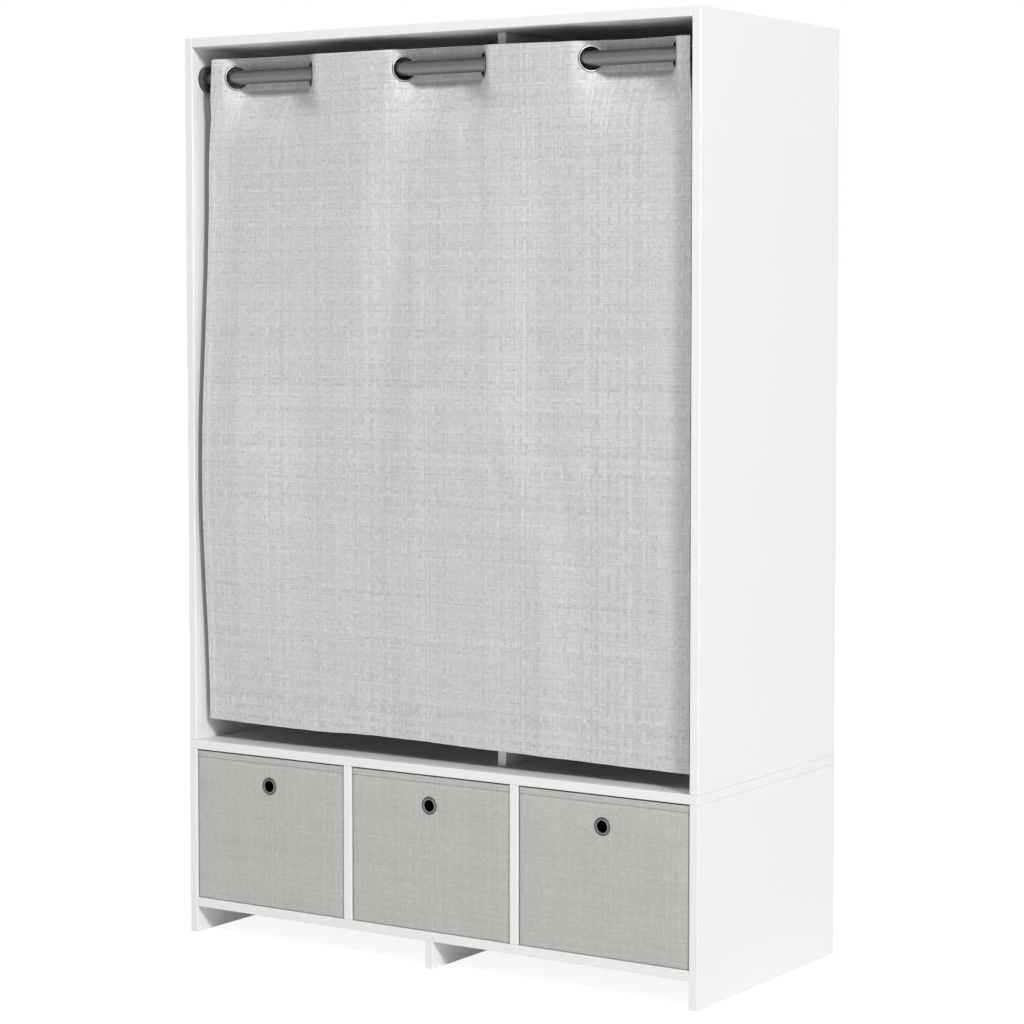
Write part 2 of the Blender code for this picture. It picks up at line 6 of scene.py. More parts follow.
import bpy
import numpy as np
from bpy.props import FloatProperty, FloatVectorProperty, IntProperty, PointerProperty
from bpy.types import NodeSocket, Operator, Panel, PropertyGroup
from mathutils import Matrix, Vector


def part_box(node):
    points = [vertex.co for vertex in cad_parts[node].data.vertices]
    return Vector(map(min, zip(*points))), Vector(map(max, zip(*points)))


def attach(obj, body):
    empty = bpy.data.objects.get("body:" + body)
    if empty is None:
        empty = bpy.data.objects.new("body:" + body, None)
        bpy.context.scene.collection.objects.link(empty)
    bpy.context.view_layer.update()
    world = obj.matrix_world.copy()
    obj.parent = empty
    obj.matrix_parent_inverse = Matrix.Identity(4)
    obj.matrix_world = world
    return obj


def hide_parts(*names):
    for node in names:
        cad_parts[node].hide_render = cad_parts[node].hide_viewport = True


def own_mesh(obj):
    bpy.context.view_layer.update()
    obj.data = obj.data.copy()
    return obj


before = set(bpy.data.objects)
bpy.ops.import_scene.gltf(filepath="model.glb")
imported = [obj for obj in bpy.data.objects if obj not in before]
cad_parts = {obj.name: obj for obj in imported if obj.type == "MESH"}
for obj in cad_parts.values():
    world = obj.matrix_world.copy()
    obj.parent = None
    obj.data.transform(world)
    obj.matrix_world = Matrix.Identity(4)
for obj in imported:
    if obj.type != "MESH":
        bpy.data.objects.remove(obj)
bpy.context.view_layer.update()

bl_info = {
    "name": "Curtain Wardrobe",
    "version": (1, 0, 0),
    "blender": (4, 5, 0),
    "location": "3D Viewport > Sidebar > Wardrobe",
    "description": "Finishes the boards, hangs the curtain and sews the boxes of a curtain wardrobe",
    "category": "Object",
}

# What the frame gives: the bounds of the solids, and the places of the tubes, eyelets and boxes

SIDES = ("left", "middle", "right")


def centre_of(node):
    low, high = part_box(node)
    return np.array((low + high) / 2)


def size_of(node):
    low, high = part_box(node)
    return np.array(high - low)


ROD_CENTRE = centre_of("curtain_rod")
ROD_RADIUS = float(size_of("curtain_rod")[2] / 2)
CLOTH_LOW, CLOTH_HIGH = (np.array(corner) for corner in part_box("curtain"))
INNER_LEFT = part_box("upper_side_left")[1].x
INNER_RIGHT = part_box("upper_side_right")[0].x

# Each eyelet's centre, the angle between its cloth and the rod, and the way in which it is turned

EYELETS = tuple(
    (centre_of(f"curtain_eyelet_{index + 1}"), math.radians(angle), (-1) ** index)
    for index, angle in enumerate((60, 47, 60, 47, 48, 53))
)

# Sizes of the curtain's pressed eyelets, as on the solids, the cloth's hole for them, and how wide the
# bright band on top of each dome is and its blend, as shares of its width: worn plating with a painted
# highlight, and dark plating with painted shade to each side

EYELET_RADIUS = 0.0222
EYELET_BORE = 0.0187
EYELET_BARREL = 0.0199
EYELET_THICKNESS = 0.0044
EYELET_GRIP = 0.0014
CLOTH_HOLE = 0.0206
CREST_SHARE = 0.68
CREST_BLEND = 0.35

# The folds that pass the eyelets: half the flat length at each eyelet, the tightest bend beside
# it, and how far they reach to each side of the rod

EYELET_FLAT = 0.0232
FOLD_BEND_RADIUS = 0.0045
STEEPEST_TURN = max(turn for _, turn, _ in EYELETS)
FOLD_DEPTH = EYELET_FLAT * math.sin(STEEPEST_TURN) + FOLD_BEND_RADIUS * (1 - math.cos(STEEPEST_TURN))

# Sizes of the boxes' finger eyelets, as on the solids, and the cloth's hole for them

FINGER_RADIUS = 0.0155
FINGER_BORE = 0.010
FINGER_BARREL = 0.0115
FINGER_THICKNESS = 0.0066
FINGER_HOLE = 0.0122

# Bends sharper than these angles are shaded as edges

TURNED_EDGE, CURTAIN_EDGE, BOX_EDGE = (math.radians(angle) for angle in (40, 60, 50))


# Meshes


def put_mesh(name, points, face_sets, material, sharp=None, uv=None, crest=None):
    """A mesh object from an array of points and one or more arrays of faces, whose rows are corner
    numbers. Its faces are turned outwards if its signed volume is negative. The map has a place for each
    corner of each face, and crest is each point's share of worn bright plating with a painted highlight, 0
    being dark plating with painted shade."""
    mesh = bpy.data.meshes.new(name)
    corners = np.concatenate([faces.ravel() for faces in face_sets])
    sizes = np.concatenate([np.full(len(faces), faces.shape[1]) for faces in face_sets])
    starts = np.concatenate([[0], np.cumsum(sizes)[:-1]])
    mesh.vertices.add(len(points))
    mesh.vertices.foreach_set("co", np.asarray(points, np.float32).ravel())
    mesh.loops.add(len(corners))
    mesh.loops.foreach_set("vertex_index", corners.astype(np.int32))
    mesh.polygons.add(len(sizes))
    mesh.polygons.foreach_set("loop_start", starts.astype(np.int32))
    mesh.update(calc_edges=True)
    if uv is not None:
        layer = mesh.uv_layers.new(name="cloth")
        layer.data.foreach_set("uv", np.asarray(uv, np.float32).ravel())
    if crest is not None:
        layer = mesh.attributes.new("crest", "FLOAT", "POINT")
        layer.data.foreach_set("value", np.asarray(crest, np.float32))
    mesh.calc_loop_triangles()
    triangles = np.empty(3 * len(mesh.loop_triangles), np.int32)
    mesh.loop_triangles.foreach_get("vertices", triangles)
    first, second, third = np.asarray(points)[triangles.reshape(-1, 3)].transpose(1, 0, 2)
    if np.einsum("ij,ij->", first, np.cross(second, third)) < 0:
        mesh.flip_normals()
    mesh.shade_smooth()
    if sharp is not None:
        mesh.set_sharp_from_angle(angle=sharp)
    mesh.materials.append(material)
    obj = bpy.data.objects.new(name, mesh)
    bpy.context.scene.collection.objects.link(obj)
    return obj


def grid_quads(rows, columns, wrap_rows=False, wrap_columns=False):
    """Corner numbers of the faces of a grid of points, closed on itself where asked."""
    row = np.arange(rows if wrap_rows else rows - 1)[:, None]
    column = np.arange(columns if wrap_columns else columns - 1)[None, :]
    below, beside = (row + 1) % rows, (column + 1) % columns
    quads = [row * columns + column, below * columns + column]
    quads += [below * columns + beside, row * columns + beside]
    return np.stack(np.broadcast_arrays(*quads), -1).reshape(-1, 4)


def turned(name, profile, steps, centre, axis, material, ring=True, crest=None):
    """A turned piece: each (radius, height) of the profile goes round the axis through the centre
    at equal angles. A ring's profile is a closed loop, and the other kind is capped at its ends.
    Crest is each profile point's share of worn bright plating with a painted highlight, 0 being dark
    plating with painted shade."""
    axis = np.asarray(axis, float) / np.linalg.norm(axis)
    helper = np.array((0, 0, 1.0)) if abs(axis[2]) < 0.9 else np.array((1.0, 0, 0))
    across = np.cross(helper, axis)
    across /= np.linalg.norm(across)
    upward = np.cross(axis, across)
    angle = np.linspace(0, 2 * math.pi, steps, endpoint=False)[:, None, None]
    radius, height = np.asarray(profile, float).T[:, None, :, None]
    points = centre + radius * (np.cos(angle) * across + np.sin(angle) * upward) + height * axis
    count = len(profile)
    faces = [grid_quads(steps, count, True, ring)]
    if not ring:
        rim = np.arange(steps) * count
        faces += [rim[None, ::-1], rim[None, :] + count - 1]
    highlight_share = None if crest is None else np.tile(crest, steps)
    return put_mesh(name, points.reshape(-1, 3), faces, material, TURNED_EDGE, None, highlight_share)


def arc(centre, radii, start, end, steps):
    """(radius, height) points on an ellipse about a centre, between two angles in degrees."""
    angle = np.radians(np.linspace(start, end, steps))
    return np.stack([centre[0] + radii[0] * np.cos(angle), centre[1] + radii[1] * np.sin(angle)], 1)


def thickened(front, back, quads, capped=None):
    """A closed skin from two matching sets of points: the faces on the front, the same faces
    turned round on the back, and a strip from front to back along each open edge that isn't
    between capped points. Also the number that each point had before."""
    starts = quads.ravel()
    ends = np.roll(quads, -1, axis=1).ravel()
    count = len(front)
    forward, opposite = starts * count + ends, ends * count + starts
    open_edge = ~np.isin(forward, opposite)
    if capped is not None:
        open_edge &= ~capped[starts]
    start, end = starts[open_edge], ends[open_edge]
    strip = np.stack([end, start, start + count, end + count], 1)
    faces = np.concatenate([quads, quads[:, ::-1] + count, strip])
    used, faces = np.unique(faces, return_inverse=True)
    return np.concatenate([front, back])[used], faces.reshape(-1, 4), used % count


def opened(quads, inside):
    """The faces with no corner inside a hole, and which points are left round the hole's rim."""
    dropped = inside[quads].any(axis=1)
    rim = np.zeros(len(inside), bool)
    rim[quads[dropped].ravel()] = True
    return quads[~dropped], rim & ~inside


def soft_step(value):
    """0 below 0 and 1 above 1, with a smooth rise between."""
    value = np.clip(value, 0, 1)
    return value * value * (3 - 2 * value)


def wrinkles(u, v, seed, short, long, count=9):
    """Shallow creases: a mean of sine waves in fixed random directions and lengths."""
    chance = np.random.default_rng(seed)
    total = np.zeros(np.broadcast(u, v).shape)
    for _ in range(count):
        length = chance.uniform(short, long)
        direction = chance.uniform(0, math.pi)
        phase = chance.uniform(0, 2 * math.pi)
        place = u * math.cos(direction) + v * math.sin(direction)
        total += np.sin(2 * math.pi * place / length + phase)
    return total / count


def stitches(line, normals, pitch, length, radius):
    """Points and faces of thread stitches: short spindles at equal steps along a line of points,
    each half sunk in the cloth, whose outward directions are the normals."""
    steps = np.linalg.norm(np.diff(line, axis=0), axis=1)
    along = np.concatenate([[0], np.cumsum(steps)])
    places = (np.arange(int(along[-1] // pitch)) + 0.5) * pitch

    def at(where, values):
        return np.stack([np.interp(where, along, values[:, k]) for k in range(3)], 1)

    centre = at(places, line)
    tangent = at(places + length / 2, line) - at(places - length / 2, line)
    tangent /= np.linalg.norm(tangent, axis=1, keepdims=True)
    side = np.cross(tangent, at(places, normals))
    side /= np.linalg.norm(side, axis=1, keepdims=True)
    out = np.cross(side, tangent)
    rings, sectors = 4, 6
    along_share = np.array((-0.5, -0.3, 0.3, 0.5))[None, :, None, None]
    girth_share = np.array((0.35, 1, 1, 0.35))[None, :, None, None]
    angle = np.linspace(0, 2 * math.pi, sectors, endpoint=False)[None, None, :, None]
    around = np.cos(angle) * side[:, None, None] + np.sin(angle) * out[:, None, None]
    points = centre[:, None, None] + length * along_share * tangent[:, None, None]
    points = (points + radius * girth_share * around).reshape(-1, 3)
    first = (np.arange(len(places)) * rings * sectors)[:, None, None]
    quads = (grid_quads(rings, sectors, False, True)[None] + first).reshape(-1, 4)
    rim = np.arange(sectors)
    caps = np.stack([rim[::-1], rim + (rings - 1) * sectors])
    return points, quads, (caps[None] + first).reshape(-1, sectors)


def put_stitches(name, rows, material):
    """One mesh of several rows of stitches."""
    points, quads, caps, count = [], [], [], 0
    for row_points, row_quads, row_caps in rows:
        points.append(row_points)
        quads.append(row_quads + count)
        caps.append(row_caps + count)
        count += len(row_points)
    face_sets = [np.concatenate(quads), np.concatenate(caps)]
    return put_mesh(name, np.concatenate(points), face_sets, material)


# Shader nodes


def add_node(tree, kind, inputs=None, **settings):
    """A node with its settings, and its inputs set to values or linked to other nodes' outputs."""
    node = tree.nodes.new(kind)
    for name, value in settings.items():
        setattr(node, name, value)
    for key, value in (inputs or {}).items():
        if isinstance(value, NodeSocket):
            tree.links.new(value, node.inputs[key])
        else:
            node.inputs[key].default_value = value
    return node


def maths(tree, operation, first, second=0.0, third=0.0):
    inputs = {0: first, 1: second, 2: third}
    return add_node(tree, "ShaderNodeMath", inputs, operation=operation).outputs[0]


def vector_maths(tree, operation, first, second=(0.0, 0.0, 0.0), scale=1.0):
    inputs = {0: first, 1: second, 3: scale}
    return add_node(tree, "ShaderNodeVectorMath", inputs, operation=operation).outputs[0]


def components(tree, vector):
    return add_node(tree, "ShaderNodeSeparateXYZ", {0: vector}).outputs


def between(tree, value, low, high, to_low=0.0, to_high=1.0, smooth=True):
    """The value's place between two limits, carried over to two others."""
    inputs = {"Value": value, "From Min": low, "From Max": high, "To Min": to_low, "To Max": to_high}
    kind = "SMOOTHSTEP" if smooth else "LINEAR"
    return add_node(tree, "ShaderNodeMapRange", inputs, interpolation_type=kind).outputs[0]


def blended(tree, share, first, second, blend_type="MIX"):
    """Two colours mixed by a share."""
    inputs = {0: share, 6: first, 7: second}
    return add_node(tree, "ShaderNodeMix", inputs, data_type="RGBA", blend_type=blend_type).outputs[2]


def blended_value(tree, share, first, second):
    """Two numbers mixed by a share."""
    inputs = {0: share, 2: first, 3: second}
    return add_node(tree, "ShaderNodeMix", inputs, data_type="FLOAT").outputs[0]


def noise(tree, vector, scale, detail=2.0, roughness=0.5):
    inputs = {"Vector": vector, "Scale": scale, "Detail": detail, "Roughness": roughness}
    return add_node(tree, "ShaderNodeTexNoise", inputs).outputs[0]


def shaded(tree, colour, low, high, share):
    """A colour times a brightness between low and high, picked by a share."""
    bright = between(tree, share, 0.0, 1.0, low, high, smooth=False)
    value = add_node(tree, "ShaderNodeCombineColor", {0: bright, 1: bright, 2: bright}).outputs[0]
    return blended(tree, 1.0, colour, value, "MULTIPLY")


def opaque(colour):
    return (*colour, 1.0)


def camera_rays(tree):
    """Two values that are 1 for rays straight from the camera, and the second one also for rays
    by way of gloss or glass."""
    path = tree.nodes.new("ShaderNodeLightPath").outputs
    straight = path["Is Camera Ray"]
    seen = maths(tree, "MAXIMUM", straight, path["Is Glossy Ray"])
    return straight, maths(tree, "MAXIMUM", seen, path["Is Transmission Ray"])


def new_group(name, vectors, numbers, outputs):
    """An empty shader group, as (tree, the group input node's outputs). Its inputs are vectors
    and numbers by name, with the numbers' defaults, and its outputs are all numbers."""
    tree = bpy.data.node_groups.new(name, "ShaderNodeTree")
    for label in vectors:
        tree.interface.new_socket(name=label, in_out="INPUT", socket_type="NodeSocketVector")
    for label, default in numbers.items():
        socket = tree.interface.new_socket(name=label, in_out="INPUT", socket_type="NodeSocketFloat")
        socket.default_value = default
    for label in outputs:
        tree.interface.new_socket(name=label, in_out="OUTPUT", socket_type="NodeSocketFloat")
    return tree, tree.nodes.new("NodeGroupInput").outputs


def woven_group():
    """Plain weave: yarns of unlike tone both ways, thick slubs along them, and the relief of one
    yarn over the other. With patches, one way of the yarns stands out in turn for a slub's length.
    Surface is the cloth's own plane in metres."""
    numbers = {"Pitch": 0.0015, "Slub Length": 0.03, "Slub": 0.5, "Fleck": 0.3}
    numbers |= {"Own Tone": 0.3, "Patches": 0.0, "Wander": 0.8}
    tree, given = new_group("woven cloth", ("Surface",), numbers, ("Tone", "Relief"))
    per_pitch = maths(tree, "DIVIDE", 1.0, given["Pitch"])
    scaled = vector_maths(tree, "SCALE", given["Surface"], scale=per_pitch)
    bend = add_node(tree, "ShaderNodeTexNoise", {"Vector": scaled, "Scale": 0.11, "Detail": 1.0})
    bend = vector_maths(tree, "SCALE", bend.outputs["Color"], scale=given["Wander"])
    part = components(tree, vector_maths(tree, "ADD", scaled, bend))
    plane = components(tree, given["Surface"])
    yarns, profiles, tones, slubs, flecks = [], [], [], [], []
    for index, (across, along) in enumerate(((0, 1), (1, 0))):
        number = maths(tree, "FLOOR", part[across])
        yarns.append(number)
        share = maths(tree, "FRACT", part[across])
        profiles.append(maths(tree, "SINE", maths(tree, "MULTIPLY", share, math.pi)))
        run = maths(tree, "DIVIDE", plane[along], given["Slub Length"])
        far = maths(tree, "MULTIPLY_ADD", number, 7.31, 113.7 * index)
        lane = add_node(tree, "ShaderNodeCombineXYZ", {0: far, 1: run, 2: 3.1 * index}).outputs[0]
        own = add_node(tree, "ShaderNodeTexWhiteNoise", {"W": far}, noise_dimensions="1D").outputs[0]
        thick = noise(tree, lane, 1.0, 1.0)
        slubs.append(between(tree, thick, 0.56, 0.72))
        flecks.append(between(tree, noise(tree, lane, 1.9, 0.0), 0.74, 0.80))
        along_tone = between(tree, thick, 0.25, 0.75, smooth=False)
        tones.append(blended_value(tree, given["Own Tone"], along_tone, own))
    parity = maths(tree, "MODULO", maths(tree, "ADD", *yarns), 2.0)
    patch = maths(tree, "DIVIDE", 1.2, given["Slub Length"])
    patch = vector_maths(tree, "SCALE", given["Surface"], scale=patch)
    patch = between(tree, noise(tree, patch, 1.0, 0.0), 0.44, 0.56)
    over = blended_value(tree, given["Patches"], maths(tree, "ABSOLUTE", parity), patch)

    def top_of(pair):
        bent = maths(tree, "SUBTRACT", pair[0], pair[1])
        return maths(tree, "MULTIPLY_ADD", bent, over, pair[1])

    slub = top_of(slubs)
    tone = maths(tree, "MULTIPLY_ADD", slub, given["Slub"], top_of(tones))
    tone = maths(tree, "SUBTRACT", tone, maths(tree, "MULTIPLY", top_of(flecks), given["Fleck"]))
    relief = maths(tree, "MULTIPLY_ADD", slub, 0.6, top_of(profiles))
    add_node(tree, "NodeGroupOutput", {"Tone": tone, "Relief": relief})
    return tree


def fine_grain_group():
    """The fine unevenness of a pressed, moulded or lacquered skin: small bumps, and slow changes
    of shine and tone as from cleaning and handling."""
    numbers = {"Grain Size": 0.001, "Cloud Size": 0.2}
    tree, given = new_group("fine grain", ("Position",), numbers, ("Grain", "Cloud"))
    grain = noise(tree, given["Position"], maths(tree, "DIVIDE", 1.0, given["Grain Size"]), 1.0)
    cloud = noise(tree, given["Position"], maths(tree, "DIVIDE", 1.0, given["Cloud Size"]), 4.0, 0.6)
    add_node(tree, "NodeGroupOutput", {"Grain": grain, "Cloud": cloud})
    return tree


def arris_group():
    """How near a point of a cuboid is to its nearest arris: 1 on it and 0 past the width. The
    distances to the three pairs of faces are put in order, and the second is the one that counts."""
    vectors = ("Position", "Low", "High")
    tree, given = new_group("arris", vectors, {"Width": 0.002}, ("Arris", "Front"))
    from_low = vector_maths(tree, "SUBTRACT", given["Position"], given["Low"])
    from_high = vector_maths(tree, "SUBTRACT", given["High"], given["Position"])
    x, y, z = components(tree, vector_maths(tree, "MINIMUM", from_low, from_high))
    smaller, larger = maths(tree, "MINIMUM", x, y), maths(tree, "MAXIMUM", x, y)
    second = maths(tree, "MAXIMUM", smaller, maths(tree, "MINIMUM", larger, z))
    arris = between(tree, second, 0.0, given["Width"], 1.0, 0.0)
    add_node(tree, "NodeGroupOutput", {"Arris": arris, "Front": components(tree, from_low)[1]})
    return tree


def drawn_metal_group():
    """Fine lines left by drawing or brushing: noise stretched along one axis by a large factor,
    and small dull spots."""
    vectors = ("Position", "Stretch")
    tree, given = new_group("drawn metal", vectors, {"Line Size": 0.0006}, ("Line", "Spot"))
    stretched = vector_maths(tree, "MULTIPLY", given["Position"], given["Stretch"])
    line = noise(tree, stretched, maths(tree, "DIVIDE", 1.0, given["Line Size"]), 2.0)
    spot = noise(tree, given["Position"], 90.0, 3.0, 0.7)
    add_node(tree, "NodeGroupOutput", {"Line": line, "Spot": spot})
    return tree


GROUP_MAKERS = {
    "woven cloth": woven_group,
    "fine grain": fine_grain_group,
    "arris": arris_group,
    "drawn metal": drawn_metal_group,
}


def shared(tree, name, inputs):
    """The outputs of a shader group, which is built when it is first used."""
    group = bpy.data.node_groups.get(name) or GROUP_MAKERS[name]()
    return add_node(tree, "ShaderNodeGroup", inputs, node_tree=group).outputs


def fine_grain(tree, position, grain_size, cloud_size):
    inputs = {"Position": position, "Grain Size": grain_size, "Cloud Size": cloud_size}
    return shared(tree, "fine grain", inputs)


def drawn_lines(tree, position, stretch, line_size):
    inputs = {"Position": position, "Stretch": stretch, "Line Size": line_size}
    return shared(tree, "drawn metal", inputs)


def new_material(name, roughness=0.5, metallic=0.0, **sockets):
    """A material with a Principled shader, as (material, tree, shader, object coordinates)."""
    material = bpy.data.materials.new(name)
    material.use_nodes = True
    tree = material.node_tree
    shader = tree.nodes["Principled BSDF"]
    shader.inputs["Roughness"].default_value = roughness
    shader.inputs["Metallic"].default_value = metallic
    for label, value in sockets.items():
        shader.inputs[label.replace("_", " ").title()].default_value = value
    position = tree.nodes.new("ShaderNodeTexCoord").outputs["Object"]
    return material, tree, shader, position


def uneven(tree, share, low, high):
    """A roughness that goes from one value to another over the middle range of a noise."""
    return between(tree, share, 0.3, 0.7, low, high)


def link_looks(tree, shader, colour, relief, strength, depth, roughness=None):
    """Colour, bump and, where it varies, roughness into the material's shader. The bump has a
    strength and the depth that a relief of 1 stands for."""
    tree.links.new(colour, shader.inputs["Base Color"])
    if roughness is not None:
        tree.links.new(roughness, shader.inputs["Roughness"])
    inputs = {"Height": relief, "Strength": strength, "Distance": depth}
    tree.links.new(add_node(tree, "ShaderNodeBump", inputs).outputs[0], shader.inputs["Normal"])


# Finishes


def board_finish(node, settings):
    """White melamine on one board: a fine pressed grain, soft clouds of shine, a painted highlight that
    makes every arris lighter than the faces, and the hairline of the edge band behind the front edge."""
    material, tree, shader, position = new_material(f"white_board_{node}")
    low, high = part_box(node)
    grain = fine_grain(tree, position, settings.grain_size, 0.22)
    inputs = {"Position": position, "Low": low, "High": high, "Width": settings.arris_highlight_width}
    arris = shared(tree, "arris", inputs)
    colour = shaded(tree, opaque(settings.board_colour), 0.985, 1.015, grain["Cloud"])
    # Painted highlight: near each arris the colour is blended towards a lighter tone
    highlight_share = maths(tree, "MULTIPLY", arris["Arris"], 0.55)
    colour = blended(tree, highlight_share, colour, opaque(settings.arris_highlight_colour))
    off_line = maths(tree, "SUBTRACT", arris["Front"], settings.band_thickness)
    off_line = maths(tree, "ABSOLUTE", off_line)
    line = between(tree, off_line, settings.band_line / 2, settings.band_line, 0.2, 0.0)
    colour = blended(tree, line, colour, opaque(settings.band_line_colour))
    dullness = settings.board_shine
    rough = uneven(tree, grain["Cloud"], dullness - 0.05, dullness + 0.06)
    link_looks(tree, shader, colour, grain["Grain"], strength=0.12, depth=0.0002, roughness=rough)
    return material


def back_sheet_finish(settings):
    """Thin fibreboard: white lacquer towards the inside, and a plainer, faintly fibrous face
    towards the wall. The faces are told apart by their depth in the sheet."""
    material, tree, shader, position = new_material("white_back_sheet")
    middle = float(centre_of("lower_back")[1])
    rear = maths(tree, "GREATER_THAN", components(tree, position)[1], middle)
    grain = fine_grain(tree, position, 0.0009, 0.3)
    fibre = noise(tree, vector_maths(tree, "MULTIPLY", position, (1.0, 1.0, 0.22)), 420.0, 3.0, 0.7)
    inside = shaded(tree, opaque(settings.back_colour), 0.985, 1.015, grain["Cloud"])
    outside = shaded(tree, opaque(settings.back_rear_colour), 0.90, 1.06, fibre)
    colour = blended(tree, rear, inside, outside)
    rough = between(tree, rear, 0.0, 1.0, 0.5, 0.75)
    relief = blended(tree, rear, grain["Grain"], fibre)
    link_looks(tree, shader, colour, relief, strength=0.15, depth=0.0002, roughness=rough)
    return material


def plain_finish(name, colour, tones, rough, relief, metallic=0.0, lines=None, grain=None):
    """A material whose colour is shaded in turn by channels of its drawn lines (stretch, size)
    and its fine grain (grain size, cloud size). Each tone is a channel and two brightnesses,
    rough is a channel and two roughnesses, and relief is a channel, a strength and a depth."""
    material, tree, shader, position = new_material(name, metallic=metallic)
    channels = dict(drawn_lines(tree, position, *lines).items()) if lines else {}
    if grain:
        channels |= fine_grain(tree, position, *grain).items()
    toned = opaque(colour)
    for channel, low, high in tones:
        toned = shaded(tree, toned, low, high, channels[channel])
    rough = uneven(tree, channels[rough[0]], *rough[1:])
    link_looks(tree, shader, toned, channels[relief[0]], *relief[1:], roughness=rough)
    return material


def strip_finish(settings):
    """Extruded white plastic, with faint lines along its length."""
    tones, rough, relief = [("Line", 0.97, 1.03)], ("Spot", 0.36, 0.48), ("Line", 0.1, 0.0002)
    lines = ((1.0, 1.0, 0.01), 0.0006)
    return plain_finish("white_strip", settings.strip_colour, tones, rough, relief, lines=lines)


def tube_finish(settings):
    """Dark grey lacquered steel: a slightly uneven satin skin over the lines of the drawn tube."""
    tones = [("Line", 0.90, 1.10), ("Cloud", 0.92, 1.08)]
    rough, relief = ("Cloud", 0.28, 0.40), ("Grain", 0.18, 0.0001)
    looks = {"metallic": settings.tube_metallic, "lines": ((0.012, 1.0, 1.0), 0.0012)}
    colour, grain = settings.tube_colour, (0.0007, 0.06)
    return plain_finish("grey_lacquered_tube", colour, tones, rough, relief, grain=grain, **looks)


def socket_finish(settings):
    """Black moulded plastic with a fine sparked texture, worn a little shinier in places."""
    tones, rough, relief = [("Cloud", 0.8, 1.25)], ("Cloud", 0.38, 0.56), ("Grain", 0.35, 0.00015)
    grain = (0.0005, 0.02)
    return plain_finish("dark_socket", settings.socket_colour, tones, rough, relief, grain=grain)


BRUSHED_LINES = ((1.0, 1.0, 0.35), 0.0007)


def zinc_finish(settings):
    """Zinc plate: dull and a little blotchy, with the lines of the turning tool."""
    tones = [("Line", 0.94, 1.06), ("Spot", 0.90, 1.10)]
    rough, relief, looks = ("Spot", 0.33, 0.48), ("Line", 0.08, 0.0001), {"lines": BRUSHED_LINES}
    return plain_finish("zinc_plate", settings.zinc_colour, tones, rough, relief, 1.0, **looks)


def plated_finish(name, dark, bright, shine):
    """Plated metal, bright where the crest attribute is high and dark where it is low: worn plating with a
    painted highlight on the tops of its domes and rolls, and dark plating with painted shade in its
    hollows and at its edges. It has fine brushed lines and duller spots."""
    material, tree, shader, position = new_material(name, shine, 1.0)
    crest = add_node(tree, "ShaderNodeAttribute", attribute_name="crest").outputs["Fac"]
    lines = drawn_lines(tree, position, *BRUSHED_LINES)
    # Worn plating with a painted highlight where the crest share is high, dark plating with painted shade
    # where it is low
    toned = blended(tree, crest, opaque(dark), opaque(bright))
    toned = shaded(tree, toned, 0.92, 1.08, lines["Line"])
    toned = shaded(tree, toned, 0.90, 1.10, lines["Spot"])
    rough = uneven(tree, lines["Spot"], shine - 0.05, shine + 0.08)
    link_looks(tree, shader, toned, lines["Line"], strength=0.08, depth=0.0001, roughness=rough)
    return material


def linen_finish(settings):
    """The curtain's linen: slubbed plain weave on the cloth's own map, with slow clouds of tone."""
    sheen = {"sheen_weight": 0.12, "sheen_roughness": 0.5}
    material, tree, shader, position = new_material("grey_linen", 0.9, **sheen)
    surface = add_node(tree, "ShaderNodeUVMap", uv_map="cloth").outputs[0]
    weave = {"Surface": surface, "Pitch": settings.yarn_pitch, "Slub Length": settings.slub_length}
    weave |= {"Slub": settings.slub, "Fleck": settings.fleck}
    fine = shared(tree, "woven cloth", weave)
    coarse = {"Pitch": settings.yarn_pitch * settings.bundle, "Slub": 0.1}
    wide = shared(tree, "woven cloth", weave | coarse | {"Own Tone": 0.6, "Patches": 1.0})
    cloud = fine_grain(tree, position, 0.02, 0.12)
    tone = blended_value(tree, settings.coarse_share, fine["Tone"], wide["Tone"])
    spread = settings.tone_spread
    colour = shaded(tree, opaque(settings.linen_colour), 1 - spread, 1 + spread, tone)
    colour = shaded(tree, colour, 0.97, 1.03, cloud["Cloud"])
    link_looks(tree, shader, colour, fine["Relief"], strength=0.5, depth=0.0003)
    return material


def box_cloth_finish(name, settings, colour, wear, own_map=True):
    """The boxes' cloth: a closer weave than the curtain's, mottled, and a little pale where it
    is handled. It lies on the piece's own map, or flat on the base board, which has none."""
    material, tree, shader, position = new_material(name, 0.92, sheen_weight=0.1, sheen_roughness=0.6)
    surface = add_node(tree, "ShaderNodeUVMap", uv_map="cloth").outputs[0] if own_map else position
    weave = {"Surface": surface, "Pitch": settings.box_yarn_pitch, "Slub Length": 0.012}
    weave |= {"Slub": 0.15, "Fleck": 0.25, "Own Tone": 0.5, "Patches": 1.0}
    weave = shared(tree, "woven cloth", weave)
    mottle = fine_grain(tree, position, 0.012, 0.07)
    spread = settings.box_tone_spread
    toned = shaded(tree, opaque(colour), 1 - spread, 1 + spread, weave["Tone"])
    toned = shaded(tree, toned, 1 - wear, 1 + wear, mottle["Cloud"])
    toned = shaded(tree, toned, 0.97, 1.03, mottle["Grain"])
    link_looks(tree, shader, toned, weave["Relief"], strength=0.4, depth=0.0002)
    return material


def thread_finish(name, colour):
    """Sewing thread: the tone changes along it as its twist catches the light."""
    material, tree, shader, position = new_material(name, 0.75, sheen_weight=0.2)
    twist = noise(tree, position, 900.0, 1.0)
    toned = shaded(tree, opaque(colour), 0.88, 1.12, twist)
    link_looks(tree, shader, toned, twist, strength=0.3, depth=0.0001)
    return material


